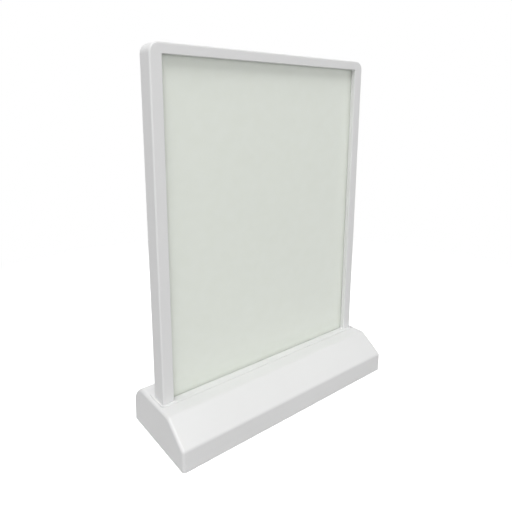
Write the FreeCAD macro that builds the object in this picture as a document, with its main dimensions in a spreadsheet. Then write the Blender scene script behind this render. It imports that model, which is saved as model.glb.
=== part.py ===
import FreeCAD, Part
import math
import os

import Sketcher

# Countertop cinema light box: an edge-lit display head that stands in a wide, low base.
# Millimetres, +Z up. The origin is on the table, under the middle of the base.
# The window looks towards -Y. X runs along the width.

V = FreeCAD.Vector
doc = FreeCAD.newDocument("LightBox")
sizes = doc.addObject("Spreadsheet::Sheet", "Sizes")
nodes = []


# ---------------------------------------------------------------- sizes and expressions


class Size:
    """A length that knows its expression over the spreadsheet and its present value."""

    def __init__(self, text, value):
        self.text = text
        self.value = value

    def joined(self, sign, other, value):
        return Size(f"({self.text} {sign} {other.text})", value)

    def __add__(self, other):
        other = size(other)
        return self.joined("+", other, self.value + other.value)

    def __sub__(self, other):
        other = size(other)
        return self.joined("-", other, self.value - other.value)

    def __mul__(self, other):
        other = size(other)
        return self.joined("*", other, self.value * other.value)

    def __truediv__(self, other):
        other = size(other)
        return self.joined("/", other, self.value / other.value)

    def __radd__(self, other):
        return size(other) + self

    def __rsub__(self, other):
        return size(other) - self

    def __rmul__(self, other):
        return size(other) * self

    def __neg__(self):
        return size(0) - self


def size(number):
    """A plain number as a Size; a Size stays as it is."""
    if isinstance(number, Size):
        return number
    return Size(f"({float(number)!r})", float(number))


def root(square):
    return Size(f"sqrt({square.text})", math.sqrt(square.value))


def drive(alias, value):
    """Write one driving size into the spreadsheet and give it back."""
    row = drive.rows = getattr(drive, "rows", 0) + 1
    sizes.set(f"A{row}", alias)
    sizes.set(f"B{row}", str(value))
    sizes.setAlias(f"B{row}", alias)
    return Size(f"Sizes.{alias}", float(value))


# ---------------------------------------------------------------- driving sizes

# The sheet, a US Letter print, sets the size of the head.
sheet_width = drive("sheet_width", 216.0)
sheet_height = drive("sheet_height", 279.4)
sheet_thick = drive("sheet_thick", 0.4)
side_cover = drive("side_cover", 2.9)  # how far the bezel laps over the sheet's sides
end_cover = drive("end_cover", 2.3)  # and over its top and bottom
tab_width = drive("tab_width", 44.0)  # pull tab at the sheet's top edge

# Head moulding.
side_bezel = drive("side_bezel", 10.0)
top_bezel = drive("top_bezel", 8.1)
foot_rail = drive("foot_rail", 14.0)  # bottom rail, sunk in the base
recess = drive("recess", 4.5)  # from the bezel's face back to the window
side_wall = drive("side_wall", 2.4)
rail_wall = drive("rail_wall", 2.8)  # top and bottom walls
head_corner = drive("head_corner", 7.8)
cavity_corner = drive("cavity_corner", 6.0)
front_edge = drive("front_edge", 1.4)
rear_edge = drive("rear_edge", 1.6)
bezel_edge = drive("bezel_edge", 0.6)
window_corner = drive("window_corner", 1.0)
slip = drive("slip", 0.3)  # room round a loose panel

# Layers behind the bezel, front to back.
pane_thick = drive("pane_thick", 1.8)
channel_depth = drive("channel_depth", 0.8)
diffuser_thick = drive("diffuser_thick", 1.2)
guide_thick = drive("guide_thick", 3.5)
reflector_thick = drive("reflector_thick", 0.4)
rear_space = drive("rear_space", 1.9)
cover_thick = drive("cover_thick", 2.1)
stack_lap = drive("stack_lap", 5.3)  # panels reach this far past the window at the sides
stack_end_lap = drive("stack_end_lap", 2.0)  # and at the top and bottom

# Small features of the head.
cover_post = drive("cover_post", 2.8)
rail_post = drive("rail_post", 3.0)
thumb_radius = drive("thumb_radius", 11.0)
thumb_depth = drive("thumb_depth", 3.2)
rib = drive("rib", 1.4)
cover_screw_inner = drive("cover_screw_inner", 24.0)
cover_screw_outer = drive("cover_screw_outer", 70.0)
lead_hole = drive("lead_hole", 80.0)  # way for the leads, between two screws
head_screw_inner = drive("head_screw_inner", 63.0)
head_screw_outer = drive("head_screw_outer", 96.0)
catch_inner = drive("catch_inner", 42.0)
catch_outer = drive("catch_outer", 84.0)
catch_half = drive("catch_half", 6.0)
catch_thick = drive("catch_thick", 1.0)
catch_reach = drive("catch_reach", 1.4)

# Light source.
board_thick = drive("board_thick", 1.0)
board_width = drive("board_width", 5.6)
led_depth = drive("led_depth", 1.0)
led_width = drive("led_width", 2.8)
led_height = drive("led_height", 3.0)
LEDS_PER_BOARD = 24

# Base moulding.
foot_proud = drive("foot_proud", 1.0)  # rubber feet stand out below the housing
deck_height = drive("deck_height", 34.7)
band_height = drive("band_height", 17.8)  # upright band along the front
slope_run = drive("slope_run", 23.0)
deck_front = drive("deck_front", 15.75)  # from the slope's top edge to the head
base_depth = drive("base_depth", 86.0)
end_overhang = drive("end_overhang", 5.0)  # base beyond the head at each end
rear_round = drive("rear_round", 19.5)
brow_round = drive("brow_round", 6.0)  # between slope and deck
band_round = drive("band_round", 3.0)  # between band and slope
end_round = drive("end_round", 2.6)
shell_wall = drive("shell_wall", 2.6)
post_radius = drive("post_radius", 3.2)
post_inset = drive("post_inset", 8.5)  # screw posts, in from the housing's sides

# Cradle that holds the head's foot.
sill = drive("sill", 0.5)  # the flange and the window's lower edge above the deck
flange_front = drive("flange_front", 2.9)
flange_side = drive("flange_side", 2.1)
flange_rear = drive("flange_rear", 8.5)
flange_corner = drive("flange_corner", 6.0)
seat_depth = drive("seat_depth", 1.2)
cradle_wall = drive("cradle_wall", 1.6)
cradle_floor = drive("cradle_floor", 1.8)
head_slip = drive("head_slip", 0.2)
seam = drive("seam", 0.15)
lug_reach = drive("lug_reach", 0.9)
lug_height = drive("lug_height", 2.4)
lug_width = drive("lug_width", 10.0)

# Battery bay.
cell_radius = drive("cell_radius", 7.1)
cell_length = drive("cell_length", 50.5)
cell_gap = drive("cell_gap", 0.9)  # between the rows
contact_room = drive("contact_room", 3.5)
bay_play = drive("bay_play", 0.4)
bay_wall = drive("bay_wall", 1.5)
bay_middle = drive("bay_middle", 2.0)  # bay's middle behind the base's middle
plate_thick = drive("plate_thick", 2.6)
plate_slip = drive("plate_slip", 0.3)
ledge = drive("ledge", 1.5)  # ledge that carries the door's tongues
ledge_thick = drive("ledge_thick", 1.0)
tongue_thick = drive("tongue_thick", 0.7)
door_thick = drive("door_thick", 1.9)
door_slip = drive("door_slip", 0.3)
door_lip = drive("door_lip", 7.7)
lip_thick = drive("lip_thick", 1.8)

# Feet and screws.
foot_radius = drive("foot_radius", 6.0)
foot_seat = drive("foot_seat", 0.8)
screw_radius = drive("screw_radius", 1.1)
screw_head_radius = drive("screw_head_radius", 2.4)
screw_head = drive("screw_head", 1.6)
thin_screw = drive("thin_screw", 0.9)
thin_head_radius = drive("thin_head_radius", 1.9)
thin_head = drive("thin_head", 1.3)
pilot_play = drive("pilot_play", 0.05)
shank_play = drive("shank_play", 0.3)

# Electronics.
circuit_thick = drive("circuit_thick", 1.6)
circuit_width = drive("circuit_width", 24.0)
circuit_depth = drive("circuit_depth", 25.0)
circuit_offset = drive("circuit_offset", 24.0)  # its middle beyond the switch's
standoff = drive("standoff", 4.4)
socket_width = drive("socket_width", 8.94)
socket_height = drive("socket_height", 3.26)
socket_depth = drive("socket_depth", 7.3)
socket_wall = drive("socket_wall", 0.35)
lead_radius = drive("lead_radius", 0.8)
lead_drop = drive("lead_drop", 1.6)  # leads run this far below the panels
lead_gap = drive("lead_gap", 1.3)  # and this far above the posts
lead_inset = drive("lead_inset", 0.2)  # and this far behind the sheet guide
lead_bend = 3.0

# Power switch.
switch_offset = drive("switch_offset", 12.5)  # its middle beyond the battery door
switch_level = drive("switch_level", 13.4)  # height of its middle above the table
switch_recess = drive("switch_recess", 4.2)  # seat of its rim, in from the rear face
switch_width = drive("switch_width", 11.6)
switch_height = drive("switch_height", 15.2)
switch_rim = drive("switch_rim", 1.5)  # rim thickness on its seat
switch_lap = drive("switch_lap", 0.7)  # rim beyond the box behind it
switch_wall = drive("switch_wall", 1.2)  # walls of the bay round the switch
recess_play = drive("recess_play", 0.4)
switch_body_depth = drive("switch_body_depth", 12.0)
rocker_width = drive("rocker_width", 7.2)
rocker_half = drive("rocker_half", 5.6)
rocker_rise = drive("rocker_rise", 3.5)
rocker_play = drive("rocker_play", 0.25)
switch_edge = drive("switch_edge", 0.4)  # rounding of the rim and the rocker
pin_radius = drive("pin_radius", 1.04)
pin_play = drive("pin_play", 0.06)
pin_length = drive("pin_length", 0.7)
pivot_depth = drive("pivot_depth", 1.0)  # pins behind the rim's seat
ROCKER_TILT = 10.0  # degrees either side of the middle

doc.recompute()


# ---------------------------------------------------------------- derived places

# Head, from the sheet outwards.
window_half = sheet_width / 2 - side_cover
head_half = window_half + side_bezel
base_half = head_half + end_overhang
deck = foot_proud + deck_height
window_low = deck + sill
window_high = window_low + sheet_height - 2 * end_cover
head_low = window_low - foot_rail
head_high = window_high + top_bezel
cavity_half = head_half - side_wall
cavity_low = head_low + rail_wall
cavity_high = head_high - rail_wall
stack_half = window_half + stack_lap
stack_low = window_low - stack_end_lap
stack_high = window_high + stack_end_lap
sheet_low = window_low - end_cover

# Layers, front to back.
base_front = -base_depth / 2
base_rear = base_depth / 2
head_front = base_front + slope_run + deck_front
pane_front = head_front + recess
pane_rear = pane_front + pane_thick
diffuser_front = pane_rear + channel_depth
guide_front = diffuser_front + diffuser_thick
guide_rear = guide_front + guide_thick
reflector_rear = guide_rear + reflector_thick
cover_front = reflector_rear + rear_space
head_rear = cover_front + cover_thick
head_middle = (head_front + head_rear) / 2
light_level = (guide_front + guide_rear) / 2

# Bottom rail.
cover_screw_level = cavity_low + cover_post
cover_pilot = thin_screw + pilot_play
lead_level = stack_low - lead_drop
lead_row = diffuser_front + lead_radius + lead_inset
rail_post_top = lead_level - lead_radius - lead_gap

# Base, from the table up.
band_top = foot_proud + band_height
slope_top_y = base_front + slope_run
plate_top = foot_proud + plate_thick
wall_half = base_half - shell_wall
wall_front = base_front + shell_wall
wall_rear = base_rear - shell_wall

# Battery bay.
bay_half = cell_length + contact_room
cell_pitch = 2 * cell_radius + cell_gap
bay_half_depth = 1.5 * cell_pitch
bay_front = bay_middle - bay_half_depth
bay_rear = bay_middle + bay_half_depth
door_top = foot_proud + door_thick
cell_level = door_top + bay_play + cell_radius
bay_top = cell_level + cell_radius + bay_play
channel_half = bay_half + bay_wall + 0.5
groove_half = channel_half + ledge
groove_low = foot_proud + ledge_thick
groove_high = door_top + 0.2
roof_top = groove_high + bay_wall

# Control board and socket.
circuit_low = plate_top + standoff
circuit_top = circuit_low + circuit_thick
circuit_rear = wall_rear - 0.3
circuit_front = circuit_rear - circuit_depth
switch_middle = groove_half + switch_offset
circuit_middle = switch_middle + circuit_offset
circuit_left = circuit_middle - circuit_width / 2
circuit_right = circuit_middle + circuit_width / 2
socket_level = circuit_top + socket_height / 2

# Switch.
switch_seat = base_rear - switch_recess
switch_face = switch_seat + switch_rim
switch_back = switch_seat - switch_body_depth
pivot = switch_seat - pivot_depth


# ---------------------------------------------------------------- sketch loops


class Polygon:
    """Closed outline with straight sides; every corner is dimensioned from the origin."""

    def __init__(self, *corners):
        self.corners = [(size(x), size(y)) for x, y in corners]

    def draw(self, sketch):
        first = sketch.GeometryCount
        count = len(self.corners)
        for i, (x, y) in enumerate(self.corners):
            next_x, next_y = self.corners[(i + 1) % count]
            start = V(x.value, y.value, 0)
            sketch.addGeometry(Part.LineSegment(start, V(next_x.value, next_y.value, 0)), False)
        for i in range(count):
            after = first + (i + 1) % count
            sketch.addConstraint(Sketcher.Constraint("Coincident", first + i, 2, after, 1))
        for i, (x, y) in enumerate(self.corners):
            dimension(sketch, "DistanceX", first + i, x)
            dimension(sketch, "DistanceY", first + i, y)


class Circle:
    def __init__(self, x, y, radius):
        self.x, self.y, self.radius = size(x), size(y), size(radius)

    def draw(self, sketch):
        centre = V(self.x.value, self.y.value, 0)
        circle = Part.Circle(centre, V(0, 0, 1), self.radius.value)
        index = sketch.addGeometry(circle, False)
        bind(sketch, Sketcher.Constraint("Radius", index, self.radius.value), self.radius)
        dimension(sketch, "DistanceX", index, self.x, point=3)
        dimension(sketch, "DistanceY", index, self.y, point=3)


class RoundedRectangle:
    """Rectangle whose four corners are tangent arcs of one radius."""

    def __init__(self, left, low, right, high, radius):
        self.left, self.low, self.right, self.high = map(size, (left, low, right, high))
        self.radius = size(radius)

    def draw(self, sketch):
        left, low, right, high = (s.value for s in (self.left, self.low, self.right, self.high))
        r = self.radius.value
        sides = [
            (V(left + r, low, 0), V(right - r, low, 0)),
            (V(right, low + r, 0), V(right, high - r, 0)),
            (V(right - r, high, 0), V(left + r, high, 0)),
            (V(left, high - r, 0), V(left, low + r, 0)),
        ]
        centres = [
            V(right - r, low + r, 0),
            V(right - r, high - r, 0),
            V(left + r, high - r, 0),
            V(left + r, low + r, 0),
        ]
        lines = [sketch.addGeometry(Part.LineSegment(a, b), False) for a, b in sides]
        arcs = []
        for i, centre in enumerate(centres):
            turn = Part.Circle(centre, V(0, 0, 1), r)
            start = math.pi / 2 * (i - 1)
            arcs.append(sketch.addGeometry(Part.ArcOfCircle(turn, start, start + math.pi / 2), False))
        for i in range(4):
            sketch.addConstraint(Sketcher.Constraint("Tangent", lines[i], 2, arcs[i], 1))
            sketch.addConstraint(Sketcher.Constraint("Tangent", arcs[i], 2, lines[(i + 1) % 4], 1))
        for i in (0, 2):
            sketch.addConstraint(Sketcher.Constraint("Horizontal", lines[i]))
            sketch.addConstraint(Sketcher.Constraint("Vertical", lines[i + 1]))
        for arc in arcs[1:]:
            sketch.addConstraint(Sketcher.Constraint("Equal", arcs[0], arc))
        bind(sketch, Sketcher.Constraint("Radius", arcs[0], r), self.radius)
        dimension(sketch, "DistanceY", lines[0], self.low)
        dimension(sketch, "DistanceX", lines[1], self.right)
        dimension(sketch, "DistanceY", lines[2], self.high)
        dimension(sketch, "DistanceX", lines[3], self.left)


def rectangle(left, low, right, high):
    return Polygon((left, low), (right, low), (right, high), (left, high))


def bind(sketch, constraint, length):
    index = sketch.addConstraint(constraint)
    sketch.setExpression(f"Constraints[{index}]", length.text)


def dimension(sketch, kind, geometry, length, point=1):
    """Dimension one point from the sketch's origin; a plain zero puts it on the axis."""
    if length.text == size(0).text:
        axis = {"DistanceX": -2, "DistanceY": -1}[kind]
        sketch.addConstraint(Sketcher.Constraint("PointOnObject", geometry, point, axis))
        return
    bind(sketch, Sketcher.Constraint(kind, -1, 1, geometry, point, length.value), length)


# ---------------------------------------------------------------- features

# Origin plane square to each axis, and the way its normal points.
PLANES = {"x": ("YZ_Plane", 1), "y": ("XZ_Plane", -1), "z": ("XY_Plane", 1)}


def new_body(label):
    return doc.addObject("PartDesign::Body", label)


def extrude(body, name, axis, low, high, *loops, cut=False):
    """Pad or pocket the loops from low to high along an axis of the model."""
    low, high = size(low), size(high)
    role, sense = PLANES[axis]
    start = high if (sense < 0) != cut else low
    sketch = body.newObject("Sketcher::SketchObject", name + "Sketch")
    plane = [f for f in body.Origin.OriginFeatures if f.Role == role][0]
    sketch.AttachmentSupport = (plane, "")
    sketch.MapMode = "FlatFace"
    sketch.setExpression("AttachmentOffset.Base.z", (start * sense).text)
    for loop in loops:
        loop.draw(sketch)
    before = body.Shape.Volume if body.Tip else 0.0
    kind = "PartDesign::Pocket" if cut else "PartDesign::Pad"
    feature = body.newObject(kind, name)
    feature.Profile = sketch
    feature.setExpression("Length", (high - low).text)
    doc.recompute()
    change = body.Shape.Volume - before
    if (change >= 0) if cut else (change <= 0):
        raise RuntimeError(f"{name} changes nothing")
    return feature


def round_edges(body, name, radius, chosen):
    """Fillet the edges whose bounding box the test accepts."""
    tip = body.Tip
    edges = [f"Edge{i}" for i, edge in enumerate(tip.Shape.Edges, 1) if chosen(edge.BoundBox)]
    if not edges:
        raise RuntimeError(f"{name} finds no edge")
    fillet = body.newObject("PartDesign::Fillet", name)
    fillet.Base = (tip, edges)
    fillet.setExpression("Radius", radius.text)
    doc.recompute()
    return fillet


def near(first, second):
    return abs(first - second) < 0.01


def block(name, x, y, z):
    """Part box between (low, high) pairs."""
    box = doc.addObject("Part::Box", name)
    for side, axis, (low, high) in zip(("Length", "Width", "Height"), "xyz", (x, y, z)):
        low, high = size(low), size(high)
        box.setExpression(side, (high - low).text)
        box.setExpression(f"Placement.Base.{axis}", low.text)
    return box


TURNS = {
    "x": FreeCAD.Rotation(V(0, 1, 0), 90),
    "y": FreeCAD.Rotation(V(1, 0, 0), -90),
    "z": FreeCAD.Rotation(),
}


def rod(name, axis, radius, low, high, *across):
    """Part cylinder from low to high along an axis; across is its place on the other two."""
    low, high = size(low), size(high)
    cylinder = doc.addObject("Part::Cylinder", name)
    cylinder.setExpression("Radius", size(radius).text)
    cylinder.setExpression("Height", (high - low).text)
    cylinder.Placement = FreeCAD.Placement(V(), TURNS[axis])
    place = dict(zip([other for other in "xyz" if other != axis], across))
    place[axis] = low
    for letter, where in place.items():
        cylinder.setExpression(f"Placement.Base.{letter}", size(where).text)
    return cylinder


def fused(name, *pieces):
    fuse = doc.addObject("Part::MultiFuse", name)
    fuse.Shapes = list(pieces)
    fuse.Refine = True
    return fuse


def cut_from(name, base, *tools):
    cut = doc.addObject("Part::Cut", name)
    cut.Base = base
    cut.Tool = tools[0] if len(tools) == 1 else fused(name + "Tools", *tools)
    cut.Refine = True
    return cut


def grouped(name, pieces):
    group = doc.addObject("Part::Compound", name)
    group.Links = list(pieces)
    return group


def finish(piece, label):
    """Name a finished sub-part and put it on the list to export."""
    piece.Label = label
    nodes.append(piece)
    return piece


# ---------------------------------------------------------------- head


def head_frame():
    """Deep moulding: bezel in front, rim walls round the panels, rail sunk in the base."""
    body = new_body("head_frame")
    outline = rectangle(-head_half, head_low, head_half, head_high)
    extrude(body, "HeadBlock", "y", head_front, head_rear, outline)
    top = head_high.value
    round_edges(body, "HeadCorners", head_corner,
                lambda b: near(b.ZMin, top) and near(b.ZMax, top) and near(b.XLength, 0))
    for name, level, radius in (("FrontEdge", head_front, front_edge), ("RearEdge", head_rear, rear_edge)):
        low = head_low.value
        round_edges(body, name, radius,
                    lambda b: near(b.YMin, level.value) and near(b.YMax, level.value)
                    and not near(b.ZMax, low))
    window = RoundedRectangle(-window_half, window_low, window_half, window_high, window_corner)
    extrude(body, "Window", "y", head_front, pane_front, window, cut=True)
    round_edges(body, "BezelEdge", bezel_edge,
                lambda b: near(b.YMin, head_front.value) and near(b.YMax, head_front.value)
                and b.XMax < window_half.value + 0.1 and b.XMin > -window_half.value - 0.1
                and b.ZMin > window_low.value - 0.1 and b.ZMax < window_high.value + 0.1)
    cavity = RoundedRectangle(-cavity_half, cavity_low, cavity_half, cavity_high, cavity_corner)
    extrude(body, "Cavity", "y", pane_front, head_rear, cavity, cut=True)

    # Posts for the cover's screws and for the screws that come up through the cradle.
    posts = [Circle(x, cover_screw_level, cover_post) for x in cover_screw_places()]
    extrude(body, "CoverPosts", "y", pane_front, cover_front, *posts)
    pilots = [Circle(x, cover_screw_level, cover_pilot) for x in cover_screw_places()]
    extrude(body, "CoverPilots", "y", cover_front - 9, cover_front, *pilots, cut=True)
    posts = [Circle(x, head_middle, rail_post) for x in head_screw_places()]
    extrude(body, "RailPosts", "z", cavity_low - 0.5, rail_post_top, *posts)
    pilots = [Circle(x, head_middle, screw_radius + pilot_play) for x in head_screw_places()]
    extrude(body, "RailPilots", "z", head_low, rail_post_top - 1, *pilots, cut=True)

    # Openings in the top wall: the sheet's slot, a scoop for the thumb, the cover's catches.
    slot = rectangle(-sheet_width / 2 - 0.8, pane_rear, sheet_width / 2 + 0.8, diffuser_front)
    extrude(body, "SheetSlot", "z", cavity_high - cavity_corner, head_high, slot, cut=True)
    boss = rectangle(-thumb_radius - 2, diffuser_front, thumb_radius + 2, diffuser_front + 6)
    extrude(body, "ThumbBoss", "z", cavity_high - 1.6, cavity_high + 0.5, boss)
    scoop = Circle(0, head_high + thumb_radius - thumb_depth, thumb_radius)
    extrude(body, "ThumbScoop", "y", diffuser_front - 0.1, diffuser_front + 4.6, scoop, cut=True)
    near_face = cover_front - 0.2
    far_face = cover_front + catch_thick + 0.2
    half = catch_half + slip
    catches = [rectangle(x - half, near_face, x + half, far_face) for x in catch_places()]
    extrude(body, "Catches", "z", cavity_high, cavity_high + catch_reach + 0.2, *catches, cut=True)
    lead_way = RoundedRectangle(lead_hole - 4, lead_row - 2, lead_hole + 4, lead_row + 2, 1.9)
    extrude(body, "LeadWay", "z", head_low, cavity_low, lead_way, cut=True)
    return finish(body, "head_frame")


def cover_screw_places():
    return [-cover_screw_outer, -cover_screw_inner, cover_screw_inner, cover_screw_outer]


def head_screw_places():
    return [-head_screw_outer, -head_screw_inner, head_screw_inner, head_screw_outer]


def catch_places():
    return [-catch_outer, -catch_inner, catch_inner, catch_outer]


def front_window():
    body = new_body("front_window")
    side = stack_half + 0.3
    pane = RoundedRectangle(-side, window_low - 2.6, side, window_high + 2.6, 2)
    extrude(body, "Pane", "y", pane_front, pane_rear, pane)
    return finish(body, "front_window")


def sheet_guide():
    """U-shaped spacer: two side bars and the bar that the sheet stands on."""
    body = new_body("sheet_guide")
    inner = sheet_width / 2 + 0.4
    outer = cavity_half - slip
    low = sheet_low - 3.0
    seat = sheet_low - 0.2
    high = cavity_high - cavity_corner
    bars = Polygon((-outer, low), (outer, low), (outer, high), (inner, high),
                   (inner, seat), (-inner, seat), (-inner, high), (-outer, high))
    extrude(body, "Bars", "y", pane_rear, diffuser_front, bars)
    return finish(body, "sheet_guide")


def insert_sheet():
    """Blank sheet in its channel; the tab ends just below the head's top face."""
    body = new_body("insert_sheet")
    side = sheet_width / 2
    high = sheet_low + sheet_height
    tab = tab_width / 2
    tip = head_high - 0.3
    front = pane_rear + (channel_depth - sheet_thick) / 2
    outline = Polygon((-side, sheet_low), (side, sheet_low), (side, high), (tab, high),
                      (tab, tip), (-tab, tip), (-tab, high), (-side, high))
    extrude(body, "Sheet", "y", front, front + sheet_thick, outline)
    return finish(body, "insert_sheet")


def stack_panel(label, front, rear):
    """One flat panel of the lit stack."""
    body = new_body(label)
    outline = rectangle(-stack_half, stack_low, stack_half, stack_high)
    extrude(body, label + "Panel", "y", front, rear, outline)
    return finish(body, label)


def led_boards():
    """A narrow board against each side wall, its LEDs facing the light guide's edge."""
    low = window_low
    high = window_high - 2.0
    pitch = (high - low) / LEDS_PER_BOARD
    wall = cavity_half
    leds = []
    for side, label in ((-1, "led_board_left"), (1, "led_board_right")):
        board_faces = sorted((wall * side, (wall - board_thick) * side), key=lambda s: s.value)
        led_faces = sorted(((wall - board_thick) * side, (wall - board_thick - led_depth) * side),
                           key=lambda s: s.value)
        depth = (light_level - board_width / 2, light_level + board_width / 2)
        finish(block(label, board_faces, depth, (low, high)), label)
        for i in range(LEDS_PER_BOARD):
            middle = low + pitch * (i + 0.5)
            span = (light_level - led_width / 2, light_level + led_width / 2)
            leds.append(block("Led", led_faces, span, (middle - led_height / 2, middle + led_height / 2)))
    finish(grouped("leds", leds), "leds")


def rear_cover():
    """Flush back panel with a rib grid that presses the stack, catches above, screws below."""
    body = new_body("rear_cover")
    side = cavity_half - 0.2
    low = cavity_low + 0.2
    high = cavity_high - 0.2
    panel = RoundedRectangle(-side, low, side, high, cavity_corner - 0.2)
    extrude(body, "Panel", "y", cover_front, head_rear, panel)
    rib_low = stack_low + 1
    rib_high = stack_high - 1
    rib_side = stack_half - 1
    ring = [rectangle(-rib_side, rib_low, rib_side, rib_high),
            rectangle(-rib_side + rib, rib_low + rib, rib_side - rib, rib_high - rib)]
    extrude(body, "RibRing", "y", reflector_rear, cover_front, *ring)
    bars = [rectangle(x - rib / 2, rib_low + rib / 2, x + rib / 2, rib_high - rib / 2)
            for x in (-rib_side / 3, rib_side / 3)]
    extrude(body, "UprightRibs", "y", reflector_rear, cover_front, *bars)
    for i in (1, 2, 3):
        level = rib_low + (rib_high - rib_low) * (i / 4)
        bar = rectangle(-rib_side + rib / 2, level - rib / 2, rib_side - rib / 2, level + rib / 2)
        extrude(body, f"CrossRib{i}", "y", reflector_rear + 0.6, cover_front, bar)
    tabs = [rectangle(x - catch_half, cover_front, x + catch_half, cover_front + catch_thick)
            for x in catch_places()]
    extrude(body, "CatchTabs", "z", high - 0.5, cavity_high + catch_reach, *tabs)
    holes = [Circle(x, cover_screw_level, thin_screw + shank_play) for x in cover_screw_places()]
    extrude(body, "ScrewHoles", "y", cover_front, head_rear, *holes, cut=True)
    sinks = [Circle(x, cover_screw_level, thin_head_radius + shank_play) for x in cover_screw_places()]
    extrude(body, "ScrewSinks", "y", head_rear - thin_head - 0.1, head_rear, *sinks, cut=True)
    return finish(body, "rear_cover")


def screw(name, axis, tip, head_seat, head_end, shank, head, *across):
    """Pan-head screw; tip, seat and end are places along the axis."""
    shank_ends = sorted((size(tip), size(head_seat)), key=lambda s: s.value)
    head_ends = sorted((size(head_seat), size(head_end)), key=lambda s: s.value)
    return fused(name, rod(name + "Shank", axis, shank, *shank_ends, *across),
                 rod(name + "Head", axis, head, *head_ends, *across))


def cover_screws():
    seat = head_rear - thin_head - 0.1
    screws = [screw("CoverScrew", "y", cover_front - 8, seat, head_rear - 0.1,
                    thin_screw, thin_head_radius, x, cover_screw_level) for x in cover_screw_places()]
    return finish(grouped("cover_screws", screws), "cover_screws")


# ---------------------------------------------------------------- base


def slope_inset(wall):
    """How far the inside corners of the front profile move for a wall of this thickness."""
    rise = deck_height - band_height
    length = root(rise * rise + slope_run * slope_run)
    at_band = wall * (length - rise) / slope_run
    at_brow = wall * (length - slope_run) / rise
    return at_band, at_brow


def base_profile(front, rear, low, band, brow_y, top):
    return Polygon((front, low), (front, band), (brow_y, top), (rear, top), (rear, low))


def base_housing():
    """Moulded shell: upright band, sloping front, flat deck, rounded back, open below."""
    outer = new_body("HousingOuter")
    profile = base_profile(base_front, base_rear, foot_proud, band_top, slope_top_y, deck)
    extrude(outer, "HousingBlock", "x", -base_half, base_half, profile)
    long_edges = (("RearRound", rear_round, base_rear, deck), ("BrowRound", brow_round, slope_top_y, deck),
                  ("BandRound", band_round, base_front, band_top))
    for name, radius, y, z in long_edges:
        round_edges(outer, name, radius,
                    lambda b: near(b.YMin, y.value) and near(b.YMax, y.value)
                    and near(b.ZMin, z.value) and near(b.ZMax, z.value))
    bottom = foot_proud.value
    round_edges(outer, "EndRounds", end_round,
                lambda b: near(b.XLength, 0) and near(abs(b.XMin), base_half.value)
                and not near(b.ZMax, bottom))

    # The air inside, less the posts that take the base plate's screws.
    air = new_body("HousingAir")
    at_band, at_brow = slope_inset(shell_wall)
    inside = base_profile(wall_front, wall_rear, foot_proud - 1, band_top - at_band,
                          slope_top_y + at_brow, deck - shell_wall)
    extrude(air, "AirBlock", "x", -wall_half, wall_half, inside)
    round_edges(air, "AirRearRound", rear_round - shell_wall,
                lambda b: near(b.YMin, wall_rear.value) and near(b.YMax, wall_rear.value)
                and b.XLength > 10 and b.ZMin > deck.value / 2)
    posts = [Circle(x, y, post_radius) for x, y in post_places()]
    extrude(air, "Posts", "z", plate_top, deck, *posts, cut=True)
    wall = switch_wall + recess_play
    shroud = rectangle(switch_middle - switch_width / 2 - wall, switch_level - switch_height / 2 - wall,
                       switch_middle + switch_width / 2 + wall, switch_level + switch_height / 2 + wall)
    extrude(air, "SwitchShroud", "y", switch_seat - switch_wall, wall_rear, shroud, cut=True)
    pilots = [rod("PostPilot", "z", screw_radius + pilot_play, plate_top, plate_top + 10, x, y)
              for x, y in post_places()]

    # Seat and opening for the cradle.
    seat = new_body("CradleSeat")
    low_y = head_front - flange_front - seam
    high_y = head_rear + flange_rear + seam
    side = head_half + flange_side + seam
    ring = RoundedRectangle(-side, low_y, side, high_y, flange_corner + seam)
    extrude(seat, "Seat", "z", deck - seat_depth, deck + 1, ring)
    gap = head_slip + cradle_wall + head_slip
    shaft = rectangle(-head_half - gap, head_front - gap, head_half + gap, head_rear + gap)
    extrude(seat, "Shaft", "z", deck - shell_wall - 1, deck, shaft)

    # Openings in the rear wall for the door's lip, the switch and the socket.
    through = (wall_rear - 0.5, base_rear + 0.5)
    notch = block("DoorNotch", (-groove_half, groove_half), through,
                  (foot_proud - 1, foot_proud + door_lip + door_slip))
    switch_ways = []
    for name, front, grow in (("SwitchBay", switch_seat, recess_play),
                              ("SwitchWay", switch_seat - switch_wall - 1, 0.2 - switch_lap)):
        side = switch_width / 2 + grow
        end = switch_height / 2 + grow
        switch_ways.append(block(name, (switch_middle - side, switch_middle + side), (front, base_rear + 0.5),
                                 (switch_level - end, switch_level + end)))
    socket_way = socket_slot("SocketWay", through, socket_wall)
    housing = cut_from("base_housing", outer, air, seat, notch, *switch_ways, socket_way, *pilots)
    return finish(housing, "base_housing")


def socket_slot(name, depth, grow):
    """Rounded slot of the socket's outline, grown all round."""
    body = new_body(name)
    half = socket_width / 2 + grow
    rise = socket_height / 2 + grow
    outline = RoundedRectangle(circuit_middle - half, socket_level - rise, circuit_middle + half,
                               socket_level + rise, socket_height / 2 + grow - 0.05)
    extrude(body, name + "Slot", "y", depth[0], depth[1], outline)
    return body


def post_places():
    side = base_half - post_inset
    front = base_front + post_inset
    rear = base_rear - post_inset
    return [(-side, front), (size(0), front), (side, front), (-side, rear), (side, rear),
            (-groove_half - 8, rear)]


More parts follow.
